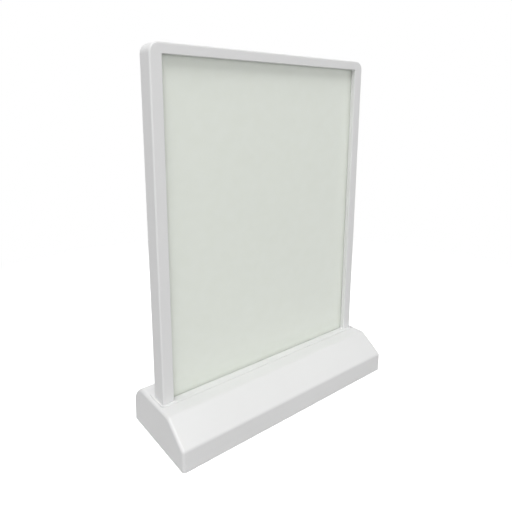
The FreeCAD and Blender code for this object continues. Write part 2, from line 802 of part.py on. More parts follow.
def head_cradle():
    """Drop-in socket for the head's foot: flange on the deck, walls and floor below it."""
    body = new_body("head_cradle")
    wall = head_slip + cradle_wall
    low = head_low - cradle_floor
    high = deck + sill
    side = head_half + flange_side
    flange = RoundedRectangle(-side, head_front - flange_front, side, head_rear + flange_rear, flange_corner)
    extrude(body, "Flange", "z", deck - seat_depth, high, flange)
    tray = rectangle(-head_half - wall, head_front - wall, head_half + wall, head_rear + wall)
    extrude(body, "Tray", "z", low, deck - seat_depth, tray)
    round_edges(body, "FlangeEdge", sill * 0.9,
                lambda b: near(b.ZMin, high.value) and near(b.ZMax, high.value))
    pocket = RoundedRectangle(-head_half - head_slip, head_front - head_slip, head_half + head_slip,
                              head_rear + head_slip, rear_edge)
    extrude(body, "Socket", "z", head_low, high, pocket, cut=True)
    lug_top = deck - shell_wall - 0.1
    for name, face, sense in (("FrontLugs", head_front - wall, -1), ("RearLugs", head_rear + wall, 1)):
        reach = face + (lug_reach + head_slip) * sense
        wedge = Polygon((face - 0.2 * sense, lug_top - lug_height), (face, lug_top - lug_height),
                        (reach, lug_top), (face - 0.2 * sense, lug_top))
        for i, x in enumerate((-86, -30, 30, 86)):
            extrude(body, f"{name}{i}", "x", size(x) - lug_width / 2, size(x) + lug_width / 2, wedge)
    holes = [Circle(x, head_middle, screw_radius + shank_play) for x in head_screw_places()]
    extrude(body, "HeadScrewHoles", "z", low, head_low, *holes, cut=True)
    way = RoundedRectangle(lead_hole - 4, lead_row - 2, lead_hole + 4, lead_row + 2, 1.9)
    extrude(body, "CradleLeadWay", "z", low, head_low, way, cut=True)
    return finish(body, "head_cradle")


def head_screws():
    seat = head_low - cradle_floor
    screws = [screw("HeadScrew", "z", rail_post_top - 1.5, seat, seat - 1.8, screw_radius, 2.6, x,
                    head_middle) for x in head_screw_places()]
    return finish(grouped("head_screws", screws), "head_screws")


def base_plate():
    """Bottom panel with the battery bay, the door's grooves, foot seats and screw seats."""
    slab = block("PlateSlab", (-wall_half + plate_slip, wall_half - plate_slip),
                 (wall_front + plate_slip, wall_rear - plate_slip), (foot_proud, plate_top))
    wall = bay_half + bay_wall
    walls = block("BayBox", (-wall, wall), (bay_front - bay_wall, bay_rear + bay_wall),
                  (foot_proud, bay_top + bay_wall))
    roof = block("DoorRoof", (-groove_half - bay_wall, groove_half + bay_wall),
                 (bay_front - bay_wall, wall_rear - plate_slip), (foot_proud, roof_top))
    standoffs = [rod("Standoff", "z", 2.6, plate_top - 0.5, circuit_low, x, y) for x, y in standoff_places()]
    solid = fused("PlateSolid", slab, walls, roof, *standoffs)

    bay = block("BayRoom", (-bay_half, bay_half), (bay_front, bay_rear), (foot_proud - 1, bay_top))
    front = bay_front - 1.0
    path = block("DoorPath", (-channel_half, channel_half), (front, wall_rear + 1),
                 (foot_proud - 1, groove_high))
    grooves = block("DoorGrooves", (-groove_half, groove_half), (front, wall_rear + 1),
                    (groove_low, groove_high))
    cuts = [bay, path, grooves]
    for x, y in post_places():
        cuts.append(rod("PlateScrewHole", "z", screw_radius + shank_play, foot_proud - 1, plate_top + 1, x, y))
        cuts.append(rod("PlateScrewSeat", "z", screw_head_radius + shank_play, foot_proud - 1,
                        foot_proud + screw_head + 0.1, x, y))
    for x, y in foot_places():
        cuts.append(rod("FootSeat", "z", foot_radius + 0.1, foot_proud - 1, foot_proud + foot_seat, x, y))
    for x, y in standoff_places():
        cuts.append(rod("StandoffPilot", "z", cover_pilot, circuit_low - 5, circuit_low + 1, x, y))
    y, z = battery_lead_place()
    room = lead_radius + 0.4
    cuts.append(block("LeadSlot", (bay_half - 1, wall + 1), (y - room, y + room), (z - room, z + room)))
    return finish(cut_from("base_plate", solid, *cuts), "base_plate")


def foot_places():
    side = base_half - 24
    reach = base_depth / 2 - 13
    return [(side * x, reach * y) for x in (-1, 1) for y in (-1, 1)]


def standoff_places():
    y = circuit_front + 3.5
    return [(circuit_left + 3.5, y), (circuit_right - 3.5, y)]


def base_screws():
    seat = foot_proud + screw_head + 0.1
    screws = [screw("BaseScrew", "z", plate_top + 8, seat, foot_proud + 0.1, screw_radius,
                    screw_head_radius, x, y) for x, y in post_places()]
    return finish(grouped("base_screws", screws), "base_screws")


def rubber_feet():
    feet = [rod("Foot", "z", foot_radius, 0, foot_proud + foot_seat, x, y) for x, y in foot_places()]
    return finish(grouped("rubber_feet", feet), "rubber_feet")


def battery_door():
    """Sliding door: plate with side tongues, and a lip that closes the notch in the back."""
    front = bay_front - 1.0 + door_slip
    plate = block("DoorPlate", (-channel_half + door_slip, channel_half - door_slip), (front, base_rear),
                  (foot_proud, door_top))
    tongue_side = groove_half - door_slip
    tongues = block("DoorTongues", (-tongue_side, tongue_side), (front, base_rear),
                    (door_top - tongue_thick, door_top))
    lip = block("DoorLip", (-tongue_side, tongue_side), (base_rear - lip_thick, base_rear),
                (foot_proud, foot_proud + door_lip))
    solid = fused("DoorSolid", plate, tongues, lip)
    grips = []
    for i in range(5):
        level = foot_proud + 1.6 + i * 1.1
        grips.append(block("DoorGrip", (-14, 14), (base_rear - 0.4, base_rear + 1), (level, level + 0.5)))
    return finish(cut_from("battery_door", solid, *grips), "battery_door")


def battery_lead_place():
    """Where the battery lead leaves the bay, just behind the rearmost contact."""
    return cell_rows()[-1] + 2, cell_level + 3.5


def cell_rows():
    return [bay_middle - cell_pitch, bay_middle, bay_middle + cell_pitch]


def battery_cells():
    """Six AA cells, two end to end in each of three rows, rows pointing in turn."""
    nub = 1.0
    cells = []
    for row, y in enumerate(cell_rows()):
        for low in (-cell_length, size(0)):
            high = low + cell_length
            body_low, body_high = (low, high - nub) if row % 2 == 0 else (low + nub, high)
            nub_low, nub_high = (high - nub, high) if row % 2 == 0 else (low, low + nub)
            cells.append(fused("Cell", rod("CellBody", "x", cell_radius, body_low, body_high, y, cell_level),
                               rod("CellNub", "x", 2.7, nub_low, nub_high, y, cell_level)))
    return finish(grouped("battery_cells", cells), "battery_cells")


def cell_contacts():
    """Bent leaf contacts at the ends of the rows."""
    metal = 0.4
    contacts = []
    for side in (-1, 1):
        for row, y in enumerate(cell_rows()):
            body = new_body("Contact")
            back = bay_half * side
            tip = (bay_half - contact_room) * side
            in_back = (bay_half - metal) * side
            in_tip = (bay_half - contact_room + metal * 1.2) * side
            low = cell_level - 5.5
            high = cell_level + 5.5
            leaf = Polygon((back, low), (in_back, low), (tip, cell_level - 0.8), (tip, cell_level + 0.8),
                           (in_back, high), (back, high), (back, high - metal),
                           (in_tip, cell_level + 0.5), (in_tip, cell_level - 0.5), (back, low + metal))
            extrude(body, "Leaf", "y", y - 4, y + 4, leaf)
            contacts.append(body)
    return finish(grouped("cell_contacts", contacts), "cell_contacts")


# ---------------------------------------------------------------- electronics


def control_board():
    board = block("BoardBlank", (circuit_left, circuit_right), (circuit_front, circuit_rear),
                  (circuit_low, circuit_top))
    holes = [rod("BoardHole", "z", screw_radius + 0.1, circuit_low - 1, circuit_top + 1, x, y)
             for x, y in standoff_places()]
    return finish(cut_from("control_board", board, *holes), "control_board")


def board_parts():
    """Choke, capacitor, driver chip and the two lead connectors."""
    on = circuit_top
    choke = fused("Choke", block("ChokeCore", (circuit_left + 1, circuit_left + 8),
                                 (circuit_front + 8, circuit_front + 15), (on, on + 3.2)),
                  rod("ChokeTop", "z", 3.0, on, on + 4.0, circuit_left + 4.5, circuit_front + 11.5))
    capacitor = rod("Capacitor", "z", 3.15, on, on + 7, circuit_right - 5, circuit_front + 11.5)
    chip = block("Chip", (circuit_middle - 2.5, circuit_middle + 2.5),
                 (circuit_front + 9, circuit_front + 13), (on, on + 1.6))
    plugs = []
    for x in connector_places():
        plugs.append(block("Connector", (x - 2.4, x + 2.4), (circuit_front + 0.4, circuit_front + 5.8),
                           (on, on + 5.5)))
    return finish(grouped("board_parts", [choke, capacitor, chip, *plugs]), "board_parts")


def connector_places():
    return [circuit_middle - 3, circuit_middle + 3]


def board_screws():
    screws = [screw("BoardScrew", "z", circuit_low - 4, circuit_top, circuit_top + 1.4,
                    screw_radius - 0.2, 1.9, x, y) for x, y in standoff_places()]
    return finish(grouped("board_screws", screws), "board_screws")


def usb_socket():
    """Metal shell with a tongue; its mouth stands just inside the rear wall's face."""
    mouth = base_rear - 0.4
    back = mouth - socket_depth
    shell = socket_slot("SocketShell", (back, mouth), 0)
    room = socket_slot("SocketRoom", (back + 1, mouth + 1), -socket_wall)
    tongue = block("SocketTongue", (circuit_middle - 3.2, circuit_middle + 3.2), (back + 0.5, mouth - 0.8),
                   (socket_level - 0.35, socket_level + 0.35))
    return finish(fused("usb_socket", cut_from("SocketHollow", shell, room), tongue), "usb_socket")


def switch_body():
    """Rim on the wall, box behind it, a well for the rocker and holes for its pins."""
    body = new_body("switch_body")
    half = switch_width / 2
    end = switch_height / 2
    x = switch_middle
    z = switch_level
    rim = RoundedRectangle(x - half, z - end, x + half, z + end, 1.2)
    extrude(body, "Rim", "y", switch_seat, switch_face, rim)
    face = switch_face.value
    round_edges(body, "RimEdge", switch_edge, lambda b: near(b.YMin, face) and near(b.YMax, face))
    side = half - switch_lap
    rise = end - switch_lap
    box = rectangle(x - side, z - rise, x + side, z + rise)
    extrude(body, "Box", "y", switch_back, switch_seat, box)
    well_side = rocker_width / 2 + rocker_play
    well_end = rocker_half + 0.8
    well = rectangle(x - well_side, z - well_end, x + well_side, z + well_end)
    extrude(body, "Well", "y", pivot - 5, switch_face, well, cut=True)
    pin_hole = Circle(pivot, z, pin_radius + pin_play)
    reach = well_side + pin_length
    extrude(body, "PinHoles", "x", x - reach, x + reach, pin_hole, cut=True)
    return finish(body, "switch_body")


def power_rocker():
    """Rocker with a shallow V face, turning on two pins; at rest it lies in its off tilt."""
    body = new_body("power_rocker")
    half = rocker_width / 2
    profile = Polygon((rocker_rise, -rocker_half), (rocker_rise - 1.0, 0), (rocker_rise, rocker_half),
                      (-1.0, rocker_half - 0.7), (-3.0, rocker_half / 3), (-3.0, -rocker_half / 3),
                      (-1.0, 0.7 - rocker_half))
    extrude(body, "Paddle", "x", -half, half, profile)
    shoulder = rocker_rise.value - 1.0
    round_edges(body, "PaddleEdges", switch_edge, lambda b: near(b.XLength, 0) and b.YMin > shoulder - 0.01)
    extrude(body, "Pins", "x", -half - pin_length, half + pin_length, Circle(0, 0, pin_radius))
    body.Placement = FreeCAD.Placement(V(), FreeCAD.Rotation(V(1, 0, 0), -ROCKER_TILT))
    place = {"x": switch_middle, "y": pivot, "z": switch_level}
    for axis, where in place.items():
        body.setExpression(f"Placement.Base.{axis}", where.text)
    return finish(body, "power_rocker")


def switch_terminals():
    blades = [block("Terminal", (switch_middle - 2.4, switch_middle + 2.4), (switch_back - 5, switch_back),
                    (switch_level + rise - 0.4, switch_level + rise + 0.4)) for rise in (-3.5, 3.5)]
    return finish(grouped("switch_terminals", blades), "switch_terminals")


def lead(label, bend, *corners):
    """Round lead: straight runs between the corners, one tangent arc at each bend."""
    points = [V(*(size(c).value for c in corner)) for corner in corners]
    edges = []
    radii = []
    at = points[0]
    for before, corner, after in zip(points, points[1:], points[2:]):
        into = (corner - before).normalize()
        out = (after - corner).normalize()
        half_turn = into.getAngle(out) / 2
        room = 0.45 * min((corner - before).Length, (after - corner).Length)
        radius = min(bend, room / math.tan(half_turn))
        reach = radius * math.tan(half_turn)
        start = corner - into * reach
        end = corner + out * reach
        middle = corner + (out - into).normalize() * (radius / math.cos(half_turn) - radius)
        edges.append(Part.LineSegment(at, start).toShape())
        edges.append(Part.Arc(start, middle, end).toShape())
        radii.append(round(radius, 2))
        at = end
    edges.append(Part.LineSegment(at, points[-1]).toShape())
    path = Part.Wire(edges)
    section = sizes.get("lead_radius")
    ring = Part.Wire(Part.Circle(points[0], points[1] - points[0], section).toShape())
    tube = doc.addObject("Part::Feature", label)
    tube.Shape = path.makePipeShell([ring], True, False)
    expected = math.pi * section**2 * path.Length
    if abs(tube.Shape.Volume / expected - 1) > 0.01:
        raise RuntimeError(f"{label} is not a clean tube")
    print(f"{label} bend radii {radii}, length {path.Length:.1f}")
    return finish(tube, label)


def head_leads():
    """Leads of the LED boards: along the bottom rail, down the way and over to the board."""
    side = cavity_half - board_thick / 2 - 0.4
    plug = connector_places()[1]
    plug_front = circuit_front + 0.4
    low = head_low - cradle_floor
    for label, start, hole, drop, front, pin in (
        ("led_lead_left", -side, lead_hole - 2.2, low - 5, circuit_front - 7.5, circuit_top + 1.6),
        ("led_lead_right", side, lead_hole + 2.2, low - 3, circuit_front - 6, circuit_top + 4.2),
    ):
        lead(label, lead_bend, (start, light_level, window_low), (start, light_level, lead_level),
             (hole, lead_row, lead_level), (hole, lead_row, drop), (plug, front, pin),
             (plug, plug_front, pin))


def base_leads():
    """Leads from the battery bay and from the switch to the board's other connector."""
    plug = connector_places()[0]
    plug_front = circuit_front + 0.4
    y, z = battery_lead_place()
    pin = circuit_top + 1.6
    outside = bay_half + bay_wall + 9
    lead("battery_lead", lead_bend, (bay_half, y, z), (outside, y, z), (plug, circuit_front - 6, pin),
         (plug, plug_front, pin))
    pin = circuit_top + 4.2
    level = switch_level + 3.5
    lead("switch_lead", lead_bend, (switch_middle + 1, switch_back - 5, level),
         (switch_middle + 1, circuit_front - 3, level), (plug, circuit_front - 4, pin),
         (plug, plug_front, pin))


# ---------------------------------------------------------------- build and export

head_frame()
front_window()
sheet_guide()
insert_sheet()
stack_panel("diffuser_panel", diffuser_front, guide_front)
stack_panel("light_guide", guide_front, guide_rear)
stack_panel("reflector_sheet", guide_rear, reflector_rear)
led_boards()
rear_cover()
cover_screws()
base_housing()
head_cradle()
head_screws()
base_plate()
base_screws()
rubber_feet()
battery_door()
battery_cells()
cell_contacts()
control_board()
board_parts()
board_screws()
usb_socket()
switch_body()
power_rocker()
switch_terminals()
head_leads()
base_leads()

doc.recompute()
for item in doc.Objects:
    if "Invalid" in item.State or "Error" in item.State:
        raise RuntimeError(f"{item.Name} {item.Label} failed: {item.State}")
for piece in nodes:
    if piece.Shape.isNull() or not piece.Shape.isValid():
        raise RuntimeError(f"{piece.Label} has no valid shape")

os.makedirs("parts", exist_ok=True)
for piece in nodes:
    piece.Shape.exportStep(f"parts/{piece.Label}.step")
    box = piece.Shape.optimalBoundingBox(False)
    print(f"{piece.Label:18s} solids {len(piece.Shape.Solids):3d}  volume {piece.Shape.Volume:10.1f}  "
          f"x {box.XMin:7.2f} {box.XMax:7.2f}  y {box.YMin:7.2f} {box.YMax:7.2f}  "
          f"z {box.ZMin:7.2f} {box.ZMax:7.2f}")
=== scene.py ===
"""Countertop cinema light box: finishes, fine pieces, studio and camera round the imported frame.

Pieces are modelled in millimetres, the studio in metres. The window faces -Y and +Z is up.
"""
import logging
import math
from abc import ABC, abstractmethod
from dataclasses import dataclass, field
from enum import Enum
from typing import Optional, Sequence

import bmesh
import bpy
from mathutils import Matrix, Vector


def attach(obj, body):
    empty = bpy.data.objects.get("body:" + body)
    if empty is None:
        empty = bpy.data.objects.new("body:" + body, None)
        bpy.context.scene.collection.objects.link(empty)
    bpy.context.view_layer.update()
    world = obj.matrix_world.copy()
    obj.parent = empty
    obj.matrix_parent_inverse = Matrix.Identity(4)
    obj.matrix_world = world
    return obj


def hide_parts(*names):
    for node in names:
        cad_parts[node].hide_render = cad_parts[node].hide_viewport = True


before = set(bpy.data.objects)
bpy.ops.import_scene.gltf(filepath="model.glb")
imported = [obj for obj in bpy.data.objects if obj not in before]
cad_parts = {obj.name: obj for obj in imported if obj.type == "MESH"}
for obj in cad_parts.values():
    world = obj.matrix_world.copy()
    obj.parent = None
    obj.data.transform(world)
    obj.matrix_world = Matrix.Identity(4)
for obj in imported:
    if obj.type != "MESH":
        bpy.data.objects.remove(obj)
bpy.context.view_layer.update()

Tree = bpy.types.NodeTree
Socket = bpy.types.NodeSocket
Shape = bmesh.types.BMesh
Outline = Sequence[tuple[float, float]]

MM = 0.001
WELD = 1e-4  # points of a new shape that lie nearer than this become one, in millimetres
THREAD_WELD = 1e-3  # the same along a thread, in millimetres
CAD_WELD = 1e-6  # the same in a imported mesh, in metres
LEVEL = 0.99  # a face whose normal rises more than this lies level
CREASE = 35.0  # edges that turn more than this many degrees stay sharp
WHITE = (1.0, 1.0, 1.0, 1.0)
# Nearly all values of a noise texture lie between these two.
NOISE_LOW = 0.3
NOISE_HIGH = 0.7

log = logging.getLogger("light_box")


# ---------------- node helpers


def linear(hex_colour: str) -> tuple[float, float, float, float]:
    """Turn an sRGB hex value into linear colour, along the standard's curve.

    Args:
        hex_colour: six hexadecimal digits after a hash sign.

    Returns:
        Linear red, green, blue and an alpha of 1.
    """
    parts = [int(hex_colour[i:i + 2], 16) / 255 for i in (1, 3, 5)]
    channels = [c / 12.92 if c <= 0.04045 else ((c + 0.055) / 1.055) ** 2.4 for c in parts]
    return (channels[0], channels[1], channels[2], 1.0)


def per_size(millimetres: float) -> float:
    """Scale of a texture whose features are this many millimetres across."""
    return 1.0 / (millimetres * MM)


def add_node(tree: Tree, kind: str, links: Optional[dict] = None,
             stops: Sequence[tuple[float, str]] = (), **settings: object) -> bpy.types.Node:
    """Add one node with its settings, socket values and incoming links.

    Args:
        tree: node tree that gets the node.
        kind: the node's type name.
        links: input name or number to the socket that feeds it, or to a plain value.
        stops: place and sRGB hex colour of each stop, where the node has a colour ramp.
        **settings: attributes of the node itself.

    Returns:
        The new node.
    """
    node = tree.nodes.new(kind)
    for name, value in settings.items():
        setattr(node, name, value)
    for name, source in (links or {}).items():
        if isinstance(source, bpy.types.NodeSocket):
            tree.links.new(source, node.inputs[name])
        else:
            node.inputs[name].default_value = source
    for number, (place, colour) in enumerate(stops):
        node.color_ramp.elements[number].position = place
        node.color_ramp.elements[number].color = linear(colour)
    return node


def in_gloss(tree: Tree, path: bpy.types.Node) -> Socket:
    """Join the light paths that see the backdrop in a gloss or through a clear sheet.

    Args:
        tree: node tree that gets the node.
        path: its Light Path node.

    Returns:
        A socket that is 1 for glossy and transmission rays.
    """
    node = add_node(tree, "ShaderNodeMath", {
        0: path.outputs["Is Glossy Ray"], 1: path.outputs["Is Transmission Ray"],
    }, operation="MAXIMUM")
    return node.outputs[0]


# ---------------- finishes


@dataclass(frozen=True)
class Finish(ABC):
    """A finish, named for what the piece is made of and how its surface was made."""

    name: str

    @abstractmethod
    def surface(self, tree: Tree, place: Socket) -> Socket:
        """Build the surface's nodes at a place in Object coordinates; give back its shader."""

    def material(self) -> bpy.types.Material:
        """Give back the material, which is made the first time it is asked for.

        Returns:
            The material.
        """
        known = bpy.data.materials.get(self.name)
        if known:
            return known
        material = bpy.data.materials.new(self.name)
        material.use_nodes = True
        tree = material.node_tree
        tree.nodes.clear()
        place = add_node(tree, "ShaderNodeTexCoord").outputs["Object"]
        add_node(tree, "ShaderNodeOutputMaterial", {"Surface": self.surface(tree, place)})
        return material


@dataclass(frozen=True)
class Moulded(Finish):
    """Moulded, cast or extruded plastic: even colour, and a soft broad sheen from its fine skin.

    The real skin is finer; its grain is drawn as coarse as it needs to be to show.
    """

    colour: str
    shade: str
    roughness: float = 0.42
    roughness_swing: float = 0.05
    grain_mm: float = 0.45
    grain_depth_mm: float = 0.012
    grain_strength: float = 0.25
    drift_mm: float = 60.0
    ior: float = 1.53

    def surface(self, tree: Tree, place: Socket) -> Socket:
        """Build a drifting base colour, with the grain in the bump and the roughness.

        Args:
            tree: the material's node tree.
            place: the point on the piece.

        Returns:
            The shader's socket.
        """
        drift = add_node(tree, "ShaderNodeTexNoise", {
            "Vector": place, "Scale": per_size(self.drift_mm), "Detail": 2.0})
        colour = add_node(tree, "ShaderNodeValToRGB", {"Fac": drift.outputs["Fac"]},
                          stops=((NOISE_LOW, self.shade), (NOISE_HIGH, self.colour)))
        grain = add_node(tree, "ShaderNodeTexNoise", {
            "Vector": place, "Scale": per_size(self.grain_mm), "Detail": 3.0})
        sheen = add_node(tree, "ShaderNodeMapRange", {
            "Value": grain.outputs["Fac"], "From Min": NOISE_LOW, "From Max": NOISE_HIGH,
            "To Min": self.roughness - self.roughness_swing,
            "To Max": self.roughness + self.roughness_swing})
        bump = add_node(tree, "ShaderNodeBump", {
            "Height": grain.outputs["Fac"], "Strength": self.grain_strength,
            "Distance": self.grain_depth_mm * MM})
        shader = add_node(tree, "ShaderNodeBsdfPrincipled", {
            "Base Color": colour.outputs["Color"], "Roughness": sheen.outputs["Result"],
            "IOR": self.ior, "Normal": bump.outputs["Normal"]})
        return shader.outputs["BSDF"]


@dataclass(frozen=True)
class ClearSheet(Finish):
    """Extruded clear acrylic: mirror-smooth, and the lamps shine through on what is behind."""

    tint: str
    roughness: float = 0.03
    roughness_swing: float = 0.01
    wave_mm: float = 45.0
    wave_depth_mm: float = 0.05
    wave_strength: float = 0.05
    ior: float = 1.49

    def surface(self, tree: Tree, place: Socket) -> Socket:
        """Build smooth clear plastic with the faint waviness of extruded sheet.

        Args:
            tree: the material's node tree.
            place: the point on the piece.

        Returns:
            The shader's socket.
        """
        wave = add_node(tree, "ShaderNodeTexNoise", {
            "Vector": place, "Scale": per_size(self.wave_mm), "Detail": 1.0})
        bump = add_node(tree, "ShaderNodeBump", {
            "Height": wave.outputs["Fac"], "Strength": self.wave_strength,
            "Distance": self.wave_depth_mm * MM})
        haze = add_node(tree, "ShaderNodeMapRange", {
            "Value": wave.outputs["Fac"], "To Min": self.roughness - self.roughness_swing,
            "To Max": self.roughness + self.roughness_swing})
        shader = add_node(tree, "ShaderNodeBsdfPrincipled", {
            "Base Color": linear(self.tint), "Roughness": haze.outputs["Result"],
            "IOR": self.ior, "Transmission Weight": 1.0, "Normal": bump.outputs["Normal"]})
        open_way = add_node(tree, "ShaderNodeBsdfTransparent", {"Color": linear(self.tint)})
        path = add_node(tree, "ShaderNodeLightPath")
        lit = add_node(tree, "ShaderNodeMath", {
            0: path.outputs["Is Shadow Ray"], 1: path.outputs["Is Diffuse Ray"],
        }, operation="MAXIMUM")
        mix = add_node(tree, "ShaderNodeMixShader", {
            0: lit.outputs[0], 1: shader.outputs["BSDF"], 2: open_way.outputs["BSDF"]})
        return mix.outputs["Shader"]


@dataclass(frozen=True)
class Sheet(Finish):
    """Translucent paper, film or opal plastic: matt, with faint fibres or flow in it."""

    colour: str
    shade: str
    fibre_mm: float = 1.2
    fibre_depth_mm: float = 0.01
    fibre_strength: float = 0.05
    cloud_fibres: float = 8.0
    roughness: float = 0.75
    ior: float = 1.45

    def surface(self, tree: Tree, place: Socket) -> Socket:
        """Build a cloudy colour, each cloud several fibres across, and a shallow fibre bump.

        Args:
            tree: the material's node tree.
            place: the point on the piece.

        Returns:
            The shader's socket.
        """
        cloud = add_node(tree, "ShaderNodeTexNoise", {
            "Vector": place, "Scale": per_size(self.fibre_mm * self.cloud_fibres), "Detail": 5.0})
        colour = add_node(tree, "ShaderNodeValToRGB", {"Fac": cloud.outputs["Fac"]},
                          stops=((NOISE_LOW, self.shade), (NOISE_HIGH, self.colour)))
        fibre = add_node(tree, "ShaderNodeTexNoise", {
            "Vector": place, "Scale": per_size(self.fibre_mm), "Detail": 4.0})
        bump = add_node(tree, "ShaderNodeBump", {
            "Height": fibre.outputs["Fac"], "Strength": self.fibre_strength,
            "Distance": self.fibre_depth_mm * MM})
        shader = add_node(tree, "ShaderNodeBsdfPrincipled", {
            "Base Color": colour.outputs["Color"], "Roughness": self.roughness,
            "IOR": self.ior, "Normal": bump.outputs["Normal"]})
        return shader.outputs["BSDF"]


@dataclass(frozen=True)
class BareMetal(Finish):
    """Plated, drawn or reflowed metal: a soft mirror in its own tone, broken up by fine lines.

    The real lines are finer; they are drawn as coarse as they need to be to show.
    """

    colour: str
    shade: str
    roughness: float = 0.28
    smoother: float = 0.08
    rougher: float = 0.1
    line_mm: float = 0.25
    line_low: float = 0.35
    line_high: float = 0.65

    def surface(self, tree: Tree, place: Socket) -> Socket:
        """Build metal whose tone and roughness follow fine lines.

        Args:
            tree: the material's node tree.
            place: the point on the piece.

        Returns:
            The shader's socket.
        """
        lines = add_node(tree, "ShaderNodeTexNoise", {
            "Vector": place, "Scale": per_size(self.line_mm), "Detail": 2.0})
        colour = add_node(tree, "ShaderNodeValToRGB", {"Fac": lines.outputs["Fac"]},
                          stops=((self.line_low, self.shade), (self.line_high, self.colour)))
        sheen = add_node(tree, "ShaderNodeMapRange", {
            "Value": lines.outputs["Fac"], "To Min": self.roughness - self.smoother,
            "To Max": self.roughness + self.rougher})
        shader = add_node(tree, "ShaderNodeBsdfPrincipled", {
            "Base Color": colour.outputs["Color"], "Metallic": 1.0,
            "Roughness": sheen.outputs["Result"]})
        return shader.outputs["BSDF"]


@dataclass(frozen=True)
class CircuitMask(Finish):
    """Solder mask over etched copper: glossy lacquer that shows the tracks under it."""

    colour: str
    track: str
    track_mm: float = 0.3
    track_depth_mm: float = 0.03
    track_strength: float = 0.4
    track_softness: float = 0.2
    pitch_mm: float = 0.9
    run_mm: float = 18.0
    roughness: float = 0.28
    ior: float = 1.5

    def surface(self, tree: Tree, place: Socket) -> Socket:
        """Build staggered tracks in a lighter tone, standing up a little.

        Args:
            tree: the material's node tree.
            place: the point on the piece.

        Returns:
            The shader's socket.
        """
        tracks = add_node(tree, "ShaderNodeTexBrick", {
            "Vector": place, "Color1": linear(self.colour), "Color2": linear(self.colour),
            "Mortar": linear(self.track), "Mortar Smooth": self.track_softness,
            "Mortar Size": self.track_mm / self.run_mm / 2, "Scale": per_size(self.run_mm),
            "Brick Width": 1.0, "Row Height": self.pitch_mm / self.run_mm})
        bump = add_node(tree, "ShaderNodeBump", {
            "Height": tracks.outputs["Fac"], "Strength": self.track_strength,
            "Distance": self.track_depth_mm * MM})
        shader = add_node(tree, "ShaderNodeBsdfPrincipled", {
            "Base Color": tracks.outputs["Color"], "Roughness": self.roughness,
            "IOR": self.ior, "Normal": bump.outputs["Normal"]})
        return shader.outputs["BSDF"]


@dataclass(frozen=True)
class StudioPaper(Finish):
    """Seamless studio paper: plain white, darkened only by the shadow, and open from below."""

    bounce: str = "#B8B8B8"  # the grey that it throws back on the object
    white: float = 1.9  # lifts what the camera sees of it to plain white
    shadow_reach: float = 0.6  # beyond this many metres no shadow shows

    def surface(self, tree: Tree, place: Socket) -> Socket:
        """Build paper near the object that turns to plain white at the shadow's reach.

        Args:
            tree: the material's node tree.
            place: the point on the floor.

        Returns:
            The shader's socket.
        """
        path = add_node(tree, "ShaderNodeLightPath")
        seen = path.outputs["Is Camera Ray"]
        tone = add_node(tree, "ShaderNodeMix", {
            "Factor": seen, 6: linear(self.bounce), 7: (self.white, self.white, self.white, 1.0),
        }, data_type="RGBA")
        paper = add_node(tree, "ShaderNodeBsdfDiffuse", {"Color": tone.outputs[2]})
        reach = add_node(tree, "ShaderNodeVectorMath", {0: place}, operation="LENGTH")
        far = add_node(tree, "ShaderNodeMapRange", {
            "Value": reach.outputs["Value"], "From Min": self.shadow_reach / 2,
            "From Max": self.shadow_reach,
        }, interpolation_type="SMOOTHSTEP")
        distant = add_node(tree, "ShaderNodeMath", {0: far.outputs["Result"], 1: seen},
                           operation="MULTIPLY")
        plain = add_node(tree, "ShaderNodeMath", {0: distant.outputs[0], 1: in_gloss(tree, path)},
                         operation="MAXIMUM")
        glow = add_node(tree, "ShaderNodeEmission", {"Color": WHITE, "Strength": 1.0})
        spread = add_node(tree, "ShaderNodeMixShader", {
            0: plain.outputs[0], 1: paper.outputs["BSDF"], 2: glow.outputs["Emission"]})
        below = add_node(tree, "ShaderNodeNewGeometry").outputs["Backfacing"]
        open_way = add_node(tree, "ShaderNodeBsdfTransparent")
        mix = add_node(tree, "ShaderNodeMixShader", {
            0: below, 1: spread.outputs["Shader"], 2: open_way.outputs["BSDF"]})
        return mix.outputs["Shader"]


# ABS housing mouldings: a bright neutral white with a satin skin.
SHELL = Moulded("abs_white_satin_moulded", "#EAEAEA", "#E8E8E8")
CRADLE = Moulded("abs_white_cradle_moulded", "#EAEAEA", "#E7E7E7", roughness=0.46)
# Black ABS of the switch: deep tone, satin skin from the mould.
DARK = Moulded("abs_black_satin_moulded", "#26272A", "#212225", roughness=0.38, grain_mm=0.35)
# Grey thermoplastic rubber: almost no sheen.
RUBBER = Moulded("rubber_grey_matt_moulded", "#8C8E90", "#7F8183", roughness=0.8, grain_mm=0.6,
                 ior=1.5)
# Acrylic: a clear window in front, and behind it a light guide with a faint cool tone.
WINDOW = ClearSheet("acrylic_clear_extruded", "#FEFFFE")
GUIDE = ClearSheet("acrylic_light_guide_polished", "#F4FAF8")
# Uncoated translucent paper with a faintly green-grey tone.
PAPER = Sheet("paper_blank_translucent", "#F0F2EC", "#EEF0E9")
# Opal polystyrene: matt and milky. White polyester film behind: brighter and smoother.
OPAL = Sheet("polystyrene_opal_extruded", "#F2F3F0", "#EFF0ED", roughness=0.6)
FILM = Sheet("polyester_white_film", "#F8F8F8", "#F5F5F5", roughness=0.5)
# Zinc plate is a bluish grey, nickel plate a warmer one.
SCREW = BareMetal("steel_zinc_plated", "#C9CCCE", "#B4B7BA")
SPRING = BareMetal("steel_nickel_plated", "#D6D6D2", "#C4C3BD", roughness=0.22)
# Contacts shine warm yellow, and solder joints are a bright silver grey.
GOLD = BareMetal("gold_plated_stamped", "#E3C27C", "#CDA75A", roughness=0.24)
TIN = BareMetal("tin_reflowed", "#C3C4C4", "#AFB0B1", roughness=0.3)
